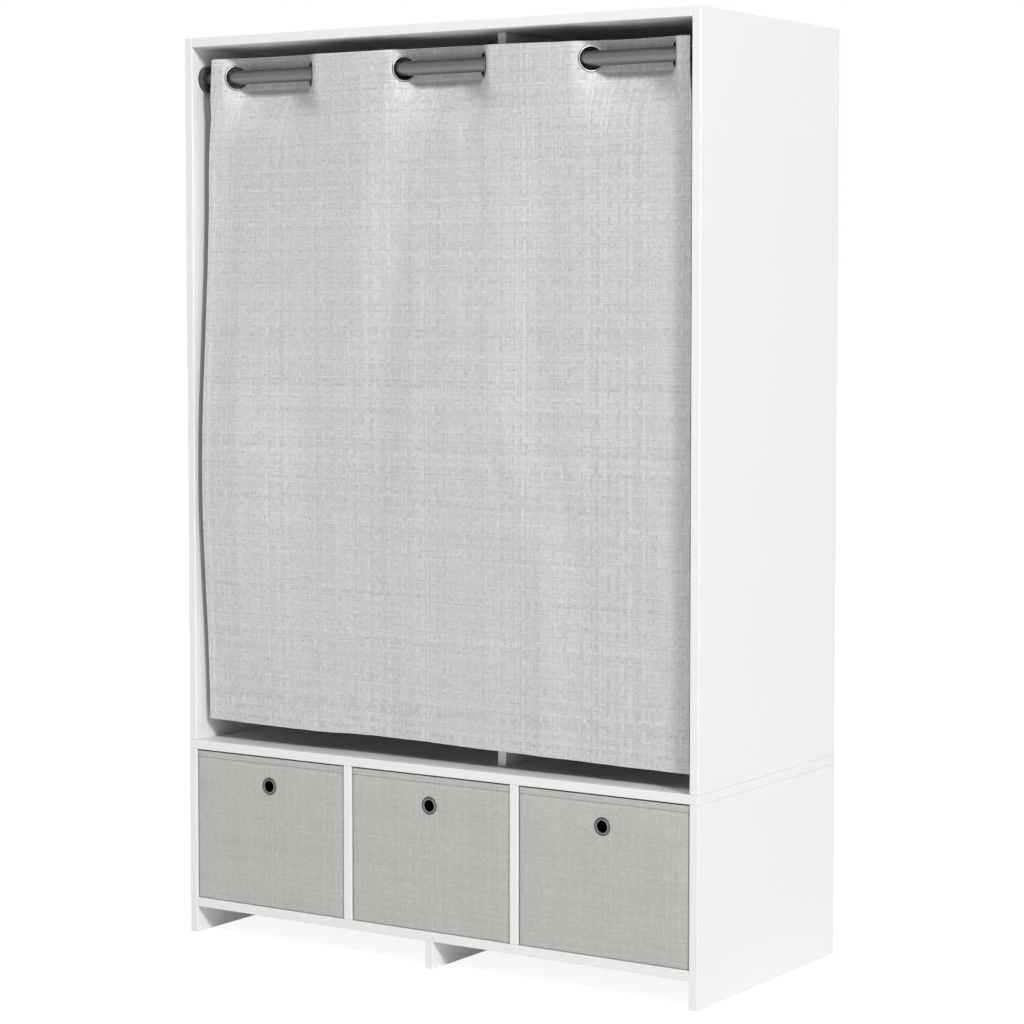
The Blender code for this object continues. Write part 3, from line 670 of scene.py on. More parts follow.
def floor_finish(settings):
    """White studio floor: for the camera it adds light up to white, more so far off, so that it
    meets the background, while the shadow stays."""
    material, tree, shader, position = new_material("studio_floor", 0.9)
    straight, seen = camera_rays(tree)
    distance = add_node(tree, "ShaderNodeVectorMath", {0: position}, operation="LENGTH")
    far = between(tree, distance.outputs["Value"], settings.floor_near, settings.floor_far)
    lit = opaque(settings.floor_colour)
    near = blended(tree, straight, lit, opaque(settings.floor_seen_colour))
    tree.links.new(blended(tree, far, near, lit), shader.inputs["Base Color"])
    lift = between(tree, far, 0.0, 1.0, settings.floor_lift, 1.0, smooth=False)
    shader.inputs["Emission Color"].default_value = opaque((1.0, 1.0, 1.0))
    tree.links.new(maths(tree, "MULTIPLY", seen, lift), shader.inputs["Emission Strength"])
    return material


# Settings that a user may change


def colour_setting(name, description, default):
    return FloatVectorProperty(name=name, description=description, subtype="COLOR", default=default)


def length_setting(name, description, default):
    return FloatProperty(name=name, description=description, subtype="DISTANCE", default=default)


def share_setting(name, description, default):
    return FloatProperty(name=name, description=description, subtype="FACTOR", default=default)


def power_setting(name, description, default):
    return FloatProperty(name=name, description=description, unit="POWER", default=default)


def angle_setting(name, description, degrees):
    default = math.radians(degrees)
    return FloatProperty(name=name, description=description, subtype="ANGLE", default=default)


def number_setting(name, description, default):
    return FloatProperty(name=name, description=description, default=default)


class WardrobeBoardSettings(PropertyGroup):
    """Colours and sizes of the boards' finish"""

    board_colour: colour_setting("Board", "White of the boards", (0.86, 0.86, 0.86))
    # The arris colour is a painted highlight, lighter than the board, along every arris over the arris
    # width.
    arris_highlight_colour: colour_setting("Arris", "Tone of the worn arrises", (0.94, 0.94, 0.94))
    arris_highlight_width: length_setting("Arris Width", "How far the wear reaches", 0.0016)
    band_thickness: length_setting("Edge Band", "Thickness of the edge band", 0.0010)
    band_line: length_setting("Band Line", "Width of the hairline behind it", 0.0002)
    band_line_colour: colour_setting("Band Line Colour", "Tone of that hairline", (0.45, 0.45, 0.45))
    board_shine: share_setting("Board Roughness", "Roughness of the melamine", 0.45)
    grain_size: length_setting("Grain", "Size of the pressed grain", 0.0016)
    back_colour: colour_setting("Back Sheet", "Lacquered face", (0.80, 0.80, 0.79))
    back_rear_colour: colour_setting("Back Sheet Rear", "Face to the wall", (0.74, 0.73, 0.70))
    strip_colour: colour_setting("Strip", "Plastic joining strip", (0.82, 0.82, 0.82))


class WardrobeMetalSettings(PropertyGroup):
    """Colours of the tubes, sockets, eyelets and fittings"""

    tube_colour: colour_setting("Tube", "Lacquer of rod and rail", (0.155, 0.155, 0.155))
    tube_metallic: share_setting("Tube Metallic", "How metallic the lacquer is", 0.85)
    socket_colour: colour_setting("Socket", "Plastic of the sockets", (0.05, 0.05, 0.05))
    # The eyelets' dark colour is their plating with painted shade in the hollows and at the edges, and
    # their bright colour is worn plating with a painted highlight.
    eyelet_dark_and_shade_colour: colour_setting("Eyelet Hollow", "Plating in the hollows", (0.02, 0.02, 0.02))
    eyelet_worn_and_highlight_colour: colour_setting("Eyelet Crest", "Plating where rubbed", (0.42, 0.42, 0.42))
    finger_colour: colour_setting("Finger Eyelet", "Its flange", (0.055, 0.055, 0.055))
    # The finger eyelets' roll colour is worn plating with a painted highlight, lighter than the flange.
    finger_roll_highlight_colour: colour_setting("Finger Eyelet Roll", "Its inner roll", (0.22, 0.22, 0.22))
    zinc_colour: colour_setting("Zinc", "Plating of cams and pins", (0.55, 0.55, 0.55))
    round_steps: IntProperty(name="Round Steps", description="Facets of a round piece", default=96, min=24)


class WardrobeCurtainSettings(PropertyGroup):
    """Cloth, folds and hems of the curtain"""

    linen_colour: colour_setting("Linen", "Colour of the curtain", (0.618, 0.618, 0.618))
    yarn_pitch: length_setting("Yarn Pitch", "From yarn to yarn", 0.0012)
    bundle: number_setting("Bundle", "Yarns that share a coarse streak", 1.7)
    coarse_share: share_setting("Coarse Share", "How much the coarse streaks show", 0.7)
    slub_length: length_setting("Slub Length", "Length of a thick place", 0.013)
    slub: share_setting("Slub", "Tone of the thick places", 0.35)
    fleck: share_setting("Fleck", "Darkness of the flecks", 0.9)
    tone_spread: share_setting("Tone Spread", "Contrast of yarns", 0.26)
    thickness: length_setting("Thickness", "Of one layer", 0.0008)
    hem_layer: length_setting("Hem Layer", "What a hem adds on each face", 0.0004)
    bottom_hem: length_setting("Bottom Hem", "Its depth", 0.016)
    side_hem: length_setting("Side Hem", "Its depth", 0.011)
    top_hem: length_setting("Top Hem", "Its depth", 0.006)
    relax_length: length_setting("Relax Length", "Where tight folds end", 0.10)
    fold_strength: number_setting("Soft Folds", "Their depth, 1 as listed", 1.0)
    forward: length_setting("Forward", "How far in front of the rod it hangs", 0.016)
    billow: length_setting("Billow", "Swell of the free left edge", 0.021)
    crease_depth: length_setting("Creases", "Their depth", 0.0011)
    stitch_pitch: length_setting("Stitch Pitch", "Of the hems", 0.0032)


class WardrobeBoxSettings(PropertyGroup):
    """Cloth and seams of the fabric boxes"""

    cloth_colour: colour_setting("Cloth", "Colour of the boxes", (0.496, 0.502, 0.471))
    base_colour: colour_setting("Base Cloth", "Cloth on the base boards", (0.475, 0.483, 0.448))
    box_yarn_pitch: length_setting("Yarn Pitch", "From yarn to yarn", 0.0019)
    box_tone_spread: share_setting("Tone Spread", "Contrast of yarns", 0.125)
    hem_depth: length_setting("Hem", "Depth of the top hem", 0.012)
    seam_inset: length_setting("Seam Inset", "From the corners", 0.008)
    base_seam: length_setting("Base Seam", "Its height", 0.010)
    seam_depth: length_setting("Seam Depth", "Of the groove", 0.0016)
    crown: length_setting("Crown", "Swell of the front", 0.0007)
    crease_depth: length_setting("Creases", "Their depth", 0.0009)
    corner_round: length_setting("Corner Round", "Of the corners", 0.0036)


class WardrobeStageSettings(PropertyGroup):
    """Camera, lamps and floor"""

    camera_x: length_setting("Camera X", "Where it stands", 2.7236)
    camera_y: length_setting("Camera Y", "Where it stands", -4.1209)
    camera_z: length_setting("Camera Z", "Where it stands", 1.1420)
    camera_turn: angle_setting("Camera Turn", "About the vertical", 33.349)
    camera_tilt: angle_setting("Camera Tilt", "Below the level", 3.423)
    camera_lens: number_setting("Lens", "Focal length in mm", 98.967)
    camera_shift: number_setting("Shift", "Vertical shift of the lens", -0.045)
    key_power: power_setting("Key", "Lamp to the right of the camera", 765.0)
    fill_power: power_setting("Fill", "High lamp in front", 67.0)
    low_power: power_setting("Low", "Soft lamp near the floor", 13.0)
    rear_power: power_setting("Rear", "Lamp behind", 60.0)
    surrounding: number_setting("Surrounding", "Even light of the studio", 0.235)
    floor_colour: colour_setting("Floor", "Floor that lights the object", (0.85, 0.85, 0.85))
    floor_seen_colour: colour_setting("Floor Seen", "Floor that the camera sees", (0.24, 0.24, 0.24))
    floor_lift: number_setting("Floor Lift", "Light added for the camera", 0.87)
    floor_near: length_setting("Floor Near", "Where it starts", 1.6)
    floor_far: length_setting("Floor Far", "Where white is full", 4.0)


SETTINGS = {
    "wardrobe_boards": WardrobeBoardSettings,
    "wardrobe_metal": WardrobeMetalSettings,
    "wardrobe_curtain": WardrobeCurtainSettings,
    "wardrobe_boxes": WardrobeBoxSettings,
    "wardrobe_stage": WardrobeStageSettings,
}


# Stage


STAGE_TARGET = (0.0, 0.0, 0.85)
FLOOR_REACH = 30.0
FLOOR_DROP = 0.0006

# Each lamp's name, place and width
LAMPS = (
    ("key", (9.3, -4.9, 5.6), 1.7),
    ("fill", (1.0, -3.6, 4.6), 1.2),
    ("low", (0.1, -3.0, 0.15), 1.5),
    ("rear", (-2.4, 3.6, 2.8), 3.0),
)


def add_lamp(name, place, size, power):
    """A square soft lamp that faces the middle of the wardrobe."""
    data = bpy.data.lights.new(name, "AREA")
    data.size = size
    data.energy = power
    lamp = bpy.data.objects.new(name, data)
    bpy.context.scene.collection.objects.link(lamp)
    direction = np.array(STAGE_TARGET) - np.array(place)
    lamp.location = place
    turn = math.atan2(direction[1], direction[0]) - math.pi / 2
    tilt = math.atan2(direction[2], math.hypot(direction[0], direction[1])) + math.pi / 2
    lamp.rotation_euler = (tilt, 0.0, turn)


class WARDROBE_OT_set_stage(Operator):
    """Add the floor, the lamps, the studio's even light and the camera"""

    bl_idname = "wardrobe.set_stage"
    bl_label = "Set Stage"

    def execute(self, context):
        scene, settings = context.scene, context.scene.wardrobe_stage
        reach = FLOOR_REACH * np.array([(-1, -1), (1, -1), (1, 1), (-1, 1)])
        corners = np.column_stack([reach, np.full(4, -FLOOR_DROP)])
        floor = put_mesh("floor", corners, [np.arange(4)[None]], floor_finish(settings))
        for name, place, size in LAMPS:
            add_lamp(name, place, size, getattr(settings, f"{name}_power"))

        world = bpy.data.worlds.new("studio")
        world.use_nodes = True
        tree = world.node_tree
        _, seen = camera_rays(tree)
        strength = between(tree, seen, 0.0, 1.0, settings.surrounding, 1.0, smooth=False)
        ground = tree.nodes["Background"]
        ground.inputs["Color"].default_value = opaque((1.0, 1.0, 1.0))
        tree.links.new(strength, ground.inputs["Strength"])
        scene.world = world

        camera = bpy.data.objects.new("camera", bpy.data.cameras.new("camera"))
        scene.collection.objects.link(camera)
        camera.location = (settings.camera_x, settings.camera_y, settings.camera_z)
        camera.rotation_euler = (math.pi / 2 - settings.camera_tilt, 0.0, settings.camera_turn)
        camera.data.lens = settings.camera_lens
        camera.data.shift_y = settings.camera_shift
        scene.camera = camera
        scene.view_settings.view_transform = "Standard"
        return {"FINISHED"}


# Boards


LOWER_BOARDS = ("lower_side_left", "lower_side_right", "bottom_panel", "centre_foot")
BOX_BOARDS = ("box_divider_left", "box_divider_right", "deck_panel")
UPPER_BOARDS = ("upper_side_left", "upper_side_right", "top_panel", "partition")
SHELVES = ("shelf_lower", "shelf_middle", "shelf_upper")
BACK_SHEETS = ("upper_back_left", "upper_back_right", "lower_back")


def dress_node(node, material):
    """Gives a solid of the frame a finish in place of its plain colour."""
    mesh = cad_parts[node].data
    mesh.materials.clear()
    mesh.materials.append(material)


class WARDROBE_OT_finish_boards(Operator):
    """Give every board, back sheet and the joining strip its finish"""

    bl_idname = "wardrobe.finish_boards"
    bl_label = "Finish Boards"

    def execute(self, context):
        settings = context.scene.wardrobe_boards
        for node in LOWER_BOARDS + BOX_BOARDS + UPPER_BOARDS + SHELVES:
            dress_node(node, board_finish(node, settings))
        sheet = back_sheet_finish(settings)
        for node in BACK_SHEETS:
            dress_node(node, sheet)
        dress_node("back_joining_strip", strip_finish(settings))
        return {"FINISHED"}


# Tubes, sockets, cams and pins


TUBE_WALL = 0.001
TUBE_EDGE = 0.0002
SOCKET_SEAT_PLAY = 0.0003
SOCKET_SEAT_DEPTH = 0.005
PIN_STEPS = 32

# Where the caps of a closed profile begin, so near the axis that no hole shows
CAP_RADIUS = 0.0001


def tube_profile(radius, length):
    """A tube's wall in section, its four edges broken."""
    inner, half, edge = radius - TUBE_WALL, length / 2, TUBE_EDGE
    outside = np.array([(radius - edge, half), (radius, half - edge)])
    inside = np.array([(inner, half - edge), (inner + edge, half)])
    return np.concatenate([outside, outside[::-1] * (1, -1), inside[::-1] * (1, -1), inside])


def socket_profile(radius, thickness):
    """A moulded socket in section: a rounded rim, a face that dips to the tube's collar, and the
    blind seat behind it."""
    seat, floor = ROD_RADIUS + SOCKET_SEAT_PLAY, thickness - SOCKET_SEAT_DEPTH
    rim, collar, edge, step = 0.0022, 0.0010, 0.0003, 0.0004
    dipped, rim_width, collar_width = thickness - 0.0005, 0.0035, 0.0026
    foot = [(CAP_RADIUS, 0), (radius - edge, 0), (radius, edge)]
    lip = arc((radius - rim, thickness - rim), (rim, rim), 0, 90, 8)
    face = [(radius - rim_width, dipped), (seat + collar_width, dipped)]
    ring = arc((seat + collar + step, thickness - collar), (collar, collar), 90, 180, 6)
    return [*foot, *lip, *face, *ring, (seat, floor), (CAP_RADIUS, floor)]


def pin_profile(radius, length):
    """A pin with bevelled ends, in section."""
    end, edge = length / 2, radius / 6
    upper = [(CAP_RADIUS, end), (radius - edge, end), (radius, end - edge)]
    return upper + [(radius, edge - end), (radius - edge, -end), (CAP_RADIUS, -end)]


class WARDROBE_OT_fit_tubes(Operator):
    """Fit the curtain rod and the hanging rail with their sockets"""

    bl_idname = "wardrobe.fit_tubes"
    bl_label = "Fit Rod and Rail"

    def execute(self, context):
        settings = context.scene.wardrobe_metal
        lacquer, plastic = tube_finish(settings), socket_finish(settings)
        steps = settings.round_steps
        for node in ("curtain_rod", "hanging_rail"):
            length, _, width = size_of(node)
            profile, centre = tube_profile(width / 2, length), centre_of(node)
            tube = turned(f"{node}_tube", profile, steps, centre, (1, 0, 0), lacquer)
            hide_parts(node)
            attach(tube, "root")
        for kind in ("rod_socket", "rail_socket"):
            for side, inward in (("left", 1), ("right", -1)):
                node = f"{kind}_{side}"
                thickness, _, width = size_of(node)
                foot = centre_of(node) - np.array((inward * thickness / 2, 0, 0))
                profile = socket_profile(width / 2, thickness)
                cup = turned(f"{node}_cup", profile, steps, foot, (inward, 0, 0), plastic, ring=False)
                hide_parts(node)
                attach(cup, "root")
        return {"FINISHED"}


class WARDROBE_OT_fit_fittings(Operator):
    """Finish the cams in the top panel and fit the shelf pins"""

    bl_idname = "wardrobe.fit_fittings"
    bl_label = "Fit Cams and Pins"

    def execute(self, context):
        settings = context.scene.wardrobe_metal
        zinc = zinc_finish(settings)
        for node in sorted(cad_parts):
            if node.startswith("top_cam_"):
                dress_node(node, zinc)
            if node.startswith("shelf_pin_"):
                length, _, width = size_of(node)
                profile, centre = pin_profile(width / 2, length), centre_of(node)
                pin = turned(f"{node}_peg", profile, PIN_STEPS, centre, (1, 0, 0), zinc, ring=False)
                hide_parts(node)
                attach(pin, "root")
        return {"FINISHED"}


# Curtain


MILLIMETRES = 1000.0

# The photographed outline: the left edge's gaps from the side at shares of the height, the reach
# of its pull, the right edge's pull, the top edge's lifts and the hem's, at shares of the inner
# width, and the free left edge's swell, at shares of the height
LEFT_EDGE_HEIGHT_SHARES = (0.0, 0.177, 0.48, 0.787, 0.863, 0.937, 1.0)
LEFT_EDGE_GAPS = (0.0137, 0.0145, 0.0155, 0.0175, 0.0180, 0.0270, 0.0320)
LEFT_EDGE_REACH = 0.22
RIGHT_EDGE_PULL = 0.0042
RIGHT_EDGE_REACH = 0.06
TOP_EDGE_SHARES = (0.0, 0.2, 0.52, 0.68, 0.84, 0.93, 1.0)
TOP_EDGE_LIFTS = (0.0020, 0.0016, 0.0008, -0.0012, -0.0042, -0.0034, -0.0044)
TOP_EDGE_SLOPE = 0.09
HEM_SHARES = (0.0, 0.1, 0.25, 0.36, 0.48, 0.58, 0.67, 0.76, 0.855, 1.0)
HEM_LIFTS = (0.0092, 0.0074, 0.0052, 0.0080, 0.0072, 0.0046, 0.0034, 0.0016, 0.0, -0.0012)
HEM_LIFT_SHARE = 0.25
BILLOW_HEIGHT_SHARE = 0.39
BILLOW_RISE_SHARE = 0.40

# Sizes of the grid and of the stitches: how far off an eyelet's plane a point may be to be cut,
# the step of the softened line, the columns' width, the rows' height, the close lines at a hem's
# seam, the least gap between columns, a stitch's share of its pitch and its half width
OFF_PLANE_LIMIT = 0.002
FINE_STEP = 0.002
COLUMN_STEP = 0.0065
ROW_STEP = 0.009
SEAM_LINES = 0.0008 * np.array((-3, -1, 0, 1, 3))
LEAST_GAP = 0.0004
STITCH_SHARE = 0.72
THREAD_RADIUS = 0.00028

# How the cloth leaves the rod: the bow between eyelets, how soft the folds are beside the eyelets,
# what that gains over a length below and above them, how they and the left edge let go, how
# upright the creases are and how high the hem's waves
BOW = 0.0022
SOFT_BESIDE = 0.003
SOFT_BELOW, SOFT_BELOW_LENGTH = 0.031, 0.06
SOFT_ABOVE, TOP_STRIP = 0.010, 0.009
RELAX_EASE = 0.6
EDGE_HOLD = 0.012
CREASE_STEEPNESS = 0.45
HEM_WAVES = 0.0005

# Soft folds of the hanging cloth, left to right. Each is a flank that goes back, or comes forward
# where its step is negative: its place as a share of the inner width at each of the heights below,
# its width as a share of the same, and its step in millimetres at each height.
FOLD_HEIGHT_SHARES = (0.05, 0.15, 0.30, 0.50, 0.75, 1.0)
SOFT_FOLDS = (
    ((0.055, 0.052, 0.052, 0.040, 0.040, 0.050), 0.030, (2.0, 1.6, 1.8, 1.2, 1.0, 0.5)),
    ((0.110, 0.108, 0.090, 0.082, 0.088, 0.090), 0.055, (-1.5, -2.8, -3.0, -4.2, -1.8, -0.6)),
    ((0.240, 0.240, 0.240, 0.200, 0.200, 0.200), 0.060, (-4.0, -1.5, 0.8, 1.0, 0.8, 0.8)),
    ((0.437, 0.405, 0.383, 0.325, 0.312, 0.320), 0.100, (9.0, 9.0, 9.0, 3.0, 4.5, 4.0)),
    ((0.505, 0.470, 0.440, 0.415, 0.382, 0.430), 0.060, (-1.0, -0.8, -2.2, -4.5, -3.0, -1.5)),
    ((0.595, 0.595, 0.590, 0.580, 0.560, 0.560), 0.060, (-4.0, -1.2, -0.4, -1.2, -0.8, 0.5)),
    ((0.700, 0.678, 0.662, 0.660, 0.745, 0.745), 0.085, (1.5, 4.5, 7.5, 7.5, 6.0, 5.5)),
    ((0.760, 0.740, 0.740, 0.735, 0.690, 0.690), 0.045, (0.0, -1.6, -1.8, -1.4, -2.0, -1.6)),
    ((0.820, 0.815, 0.810, 0.810, 0.820, 0.820), 0.070, (3.5, 1.8, 0.8, 0.6, -0.6, -0.6)),
)


def crossing(centre_x, turn, sense):
    """Plan of the cloth past one eyelet, as rows (x, y): straight across it, then an arc on each
    side that ends parallel to the rod. The left half is the right half turned about the eyelet."""
    run, rise = EYELET_FLAT * math.cos(turn), EYELET_FLAT * math.sin(turn)
    radius = (FOLD_DEPTH - rise) / (1 - math.cos(turn))
    straight = np.linspace(0, 1, 11)
    angle = np.linspace(turn, 0, 7)[1:]
    x = np.concatenate([straight * run, run + radius * (math.sin(turn) - np.sin(angle))])
    y = np.concatenate([straight * rise, rise + radius * (np.cos(angle) - math.cos(turn))])
    x, y = np.concatenate([-x[:0:-1], x]), np.concatenate([-y[:0:-1], y])
    return np.column_stack([centre_x + x, sense * y])


def plan_line():
    """Plan of the cloth at the rod, as rows (x, y from the rod): the crossings, and runs between
    them that bow a little away from the rod."""
    crossings = [crossing(centre[0], turn, sense) for centre, turn, sense in EYELETS]
    left = (INNER_LEFT + LEFT_EDGE_GAPS[-1], -FOLD_DEPTH)
    right = (CLOTH_HIGH[0], -FOLD_DEPTH)
    ends = [left] + [tuple(c[-1]) for c in crossings]
    starts = [tuple(c[0]) for c in crossings] + [right]
    line = []
    for index, (end, start) in enumerate(zip(ends, starts)):
        count = max(2, round((start[0] - end[0]) / COLUMN_STEP))
        share = np.linspace(0, 1, count + 1)
        run = np.column_stack([end[0] + share * (start[0] - end[0]), np.full(count + 1, end[1])])
        inner = 0 < index < len(crossings)
        run[:, 1] += BOW * math.copysign(inner, end[1]) * np.sin(math.pi * share) ** 2
        line.append(run if index == 0 else run[1:])
        if index < len(crossings):
            line.append(crossings[index][1:])
    return np.concatenate(line)


def soft_folds(x, down):
    """Depth of the hanging cloth behind its left edge: a sum of flanks, each a smooth step in
    depth across its width, whose place and depth drift with the height, less a slope that brings
    the right edge back level with the left one."""
    across = (x - INNER_LEFT) / (INNER_RIGHT - INNER_LEFT)
    depth, total = 0.0, 0.0
    for places, width, steps in SOFT_FOLDS:
        place = np.interp(down, FOLD_HEIGHT_SHARES, places)
        step = np.interp(down, FOLD_HEIGHT_SHARES, steps) / MILLIMETRES
        depth = depth + step * soft_step((across - place) / width + 0.5)
        total = total + step
    return depth - total * across


def cloth_rows(settings):
    """Heights of the cloth's rows, from the top: close together across the eyelets and at the
    hems' seams, and wider where it hangs plain."""
    top, bottom, rod = CLOTH_HIGH[2], CLOTH_LOW[2], ROD_CENTRE[2]
    eyelet_rows, hem_rows, margin = 27, 6, 0.002
    dense = np.linspace(top, rod - EYELET_FLAT - margin, eyelet_rows)
    hem = bottom + settings.bottom_hem - SEAM_LINES
    plain = np.linspace(dense[-1], hem[0], round((dense[-1] - hem[0]) / ROW_STEP) + 1)
    lowest = np.linspace(hem[-1], bottom, hem_rows)
    return np.concatenate([dense, plain[1:], hem[1:], lowest[1:]])


def smooth_curve(where, shares, values, spread=0.03):
    """A curve through a few values, its corners rounded by the mean of three near places."""
    places = [where - spread, where, where + spread]
    return sum(np.interp(place, shares, values) for place in places) / 3


def softened(line, where, spreads):
    """The plan line at the wanted places, one row for each spread: a running mean of the line
    under a bell of that spread, so that bends grow softer away from the eyelets."""
    margin = 0.12
    fine = np.arange(line[0, 0] - margin, line[-1, 0] + margin, FINE_STEP)
    values = np.interp(fine, line[:, 0], line[:, 1])
    gap = where[:, None] - fine[None, :]

    def under_bell(spread):
        weights = np.exp(-((gap / spread) ** 2) / 2)
        return weights @ values / weights.sum(axis=1)

    exact = np.interp(where, line[:, 0], line[:, 1]) - under_bell(FINE_STEP)
    return np.array([exact + under_bell(math.hypot(spread, FINE_STEP)) for spread in spreads])


def cloth_surface(settings):
    """The cloth's middle surface as a grid of points, with its columns' own x for the weave."""
    line, rows = plan_line(), cloth_rows(settings)
    seams = [line[0, 0] + settings.side_hem, line[-1, 0] - settings.side_hem]
    wanted = np.sort(np.concatenate([line[:, 0], *(seam + SEAM_LINES for seam in seams)]))
    wanted = wanted[np.concatenate([[True], np.diff(wanted) > LEAST_GAP])]
    rod = ROD_CENTRE[2]
    below, above = (rod - EYELET_FLAT - rows), (rows - rod - EYELET_FLAT)
    on_strip = np.clip(above / TOP_STRIP, 0, 1)
    spreads = SOFT_BESIDE + SOFT_BELOW * soft_step(below / SOFT_BELOW_LENGTH) + SOFT_ABOVE * on_strip
    fold = softened(line, wanted, spreads)
    x, z = wanted[None, :], rows[:, None]
    loose = np.clip(below / settings.relax_length, 0, 1)[:, None]
    tight = (1 - loose) ** 2 * (1 + RELAX_EASE * loose)
    height_share = (rows - CLOTH_LOW[2]) / (CLOTH_HIGH[2] - CLOTH_LOW[2])
    edge = INNER_LEFT + smooth_curve(height_share, LEFT_EDGE_HEIGHT_SHARES, LEFT_EDGE_GAPS)
    pull = 1 - soft_step((x - wanted[0]) / LEFT_EDGE_REACH)
    held = soft_step((x - wanted[0]) / EDGE_HOLD) * tight
    shifted = x + (edge[:, None] - wanted[0]) * pull * (1 - held)
    down = (rod - z) / (rod - CLOTH_LOW[2])
    soft = settings.fold_strength * soft_folds(x, down) - settings.forward
    creases = wrinkles(x, z * CREASE_STEEPNESS, seed=11, short=0.05, long=0.19)
    soft = soft + settings.crease_depth * creases
    rise = np.abs(height_share - BILLOW_HEIGHT_SHARE) / BILLOW_RISE_SHARE
    swell = settings.billow * (1 - soft_step(rise))[:, None] * pull
    y = ROD_CENTRE[1] + tight * fold + (1 - tight) * (soft - swell)
    share = (x - INNER_LEFT) / (INNER_RIGHT - INNER_LEFT)
    lift = np.interp(share, TOP_EDGE_SHARES, TOP_EDGE_LIFTS) + TOP_EDGE_SLOPE * fold[0]
    low = np.clip(1 - height_share / HEM_LIFT_SHARE, 0, 1)[:, None]
    waves = wrinkles(x, 0.0, seed=23, short=0.03, long=0.08)
    hem = np.interp(share, HEM_SHARES, HEM_LIFTS) + HEM_WAVES * waves
    lift = lift * on_strip[:, None] + hem * low
    back = RIGHT_EDGE_PULL * soft_step((x - wanted[-1]) / RIGHT_EDGE_REACH + 1)
    points = np.stack(np.broadcast_arrays(shifted - back, y, z + lift), -1)
    return points, wanted


def hem_share(points, wanted, settings):
    """1 on the hems of the cloth and 0 off them, with a narrow rise at their seams."""
    rise = 0.0012
    z, x = points[..., 2], wanted[None, :]
    bottom, top = CLOTH_LOW[2] + settings.bottom_hem - z, z - CLOTH_HIGH[2] + settings.top_hem
    left, right = wanted[0] + settings.side_hem - x, x - wanted[-1] + settings.side_hem
    shares = [soft_step(inside / rise + 0.5) for inside in (bottom, top, left, right)]
    return np.max(np.broadcast_arrays(*shares), axis=0)


def cut_eyelet_holes(points, quads):
    """Drops the faces inside each eyelet's hole and draws the points round it onto its circle."""
    flat = points.reshape(-1, 3)
    inside = np.zeros(len(flat), bool)
    moves = []
    for centre, turn, sense in EYELETS:
        along = np.array((math.cos(turn), sense * math.sin(turn), 0))
        offset = flat - centre
        across, up = offset @ along, offset[:, 2]
        off_plane = np.abs(offset[:, 0] * along[1] - offset[:, 1] * along[0])
        near = (off_plane < OFF_PLANE_LIMIT) & (np.abs(across) < EYELET_FLAT)
        distance = np.hypot(across, up)
        inside |= near & (distance < CLOTH_HOLE)
        moves.append((centre, along, across, up, distance, near))
    kept, rim = opened(quads, inside)
    for centre, along, across, up, distance, near in moves:
        which = rim & near & (distance < 2 * CLOTH_HOLE)
        scale = CLOTH_HOLE / distance[which]
        flat[which] = centre + (scale * across[which])[:, None] * along
        flat[which, 2] = centre[2] + scale * up[which]
    return flat, kept


class WARDROBE_OT_hang_curtain(Operator):
    """Hang the linen curtain on its eyelets, with its hems and stitches"""

    bl_idname = "wardrobe.hang_curtain"
    bl_label = "Hang Curtain"

    def execute(self, context):
        settings = context.scene.wardrobe_curtain
        points, wanted = cloth_surface(settings)
        rows, columns = points.shape[:2]
        normal = np.cross(np.gradient(points, axis=0), np.gradient(points, axis=1))
        normal /= np.linalg.norm(normal, axis=2, keepdims=True)
        hem = hem_share(points, wanted, settings)
        half = (settings.thickness / 2 + settings.hem_layer * hem)[..., None]
        uv = np.stack(np.broadcast_arrays(wanted[None, :], points[..., 2]), -1).reshape(-1, 2)
        middle, quads = cut_eyelet_holes(points, grid_quads(rows, columns))
        outward = (half * normal).reshape(-1, 3)
        skin, faces, source = thickened(middle + outward, middle - outward, quads)
        mapped, linen = uv[source[faces].ravel()], linen_finish(settings)
        curtain = put_mesh("linen_curtain", skin, [faces], linen, CURTAIN_EDGE, mapped)
        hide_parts("curtain")

        front = (middle + outward).reshape(rows, columns, 3)
        seam_row = int(np.argmin(np.abs(points[:, 0, 2] - CLOTH_LOW[2] - settings.bottom_hem)))
        sewn = [(front[seam_row], normal[seam_row])]
        for edge, depth in ((wanted[0], settings.side_hem), (wanted[-1], -settings.side_hem)):
            column = int(np.argmin(np.abs(wanted - edge - depth)))
            sewn.append((front[:seam_row, column], normal[:seam_row, column]))
        pitch, size = settings.stitch_pitch, STITCH_SHARE * settings.stitch_pitch
        lines = [stitches(line, out, pitch, size, THREAD_RADIUS) for line, out in sewn]
        cotton = thread_finish("linen_thread", settings.linen_colour)
        thread = put_stitches("curtain_stitches", lines, cotton)
        for piece in (curtain, thread):
            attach(piece, "root")
            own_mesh(piece)
        return {"FINISHED"}


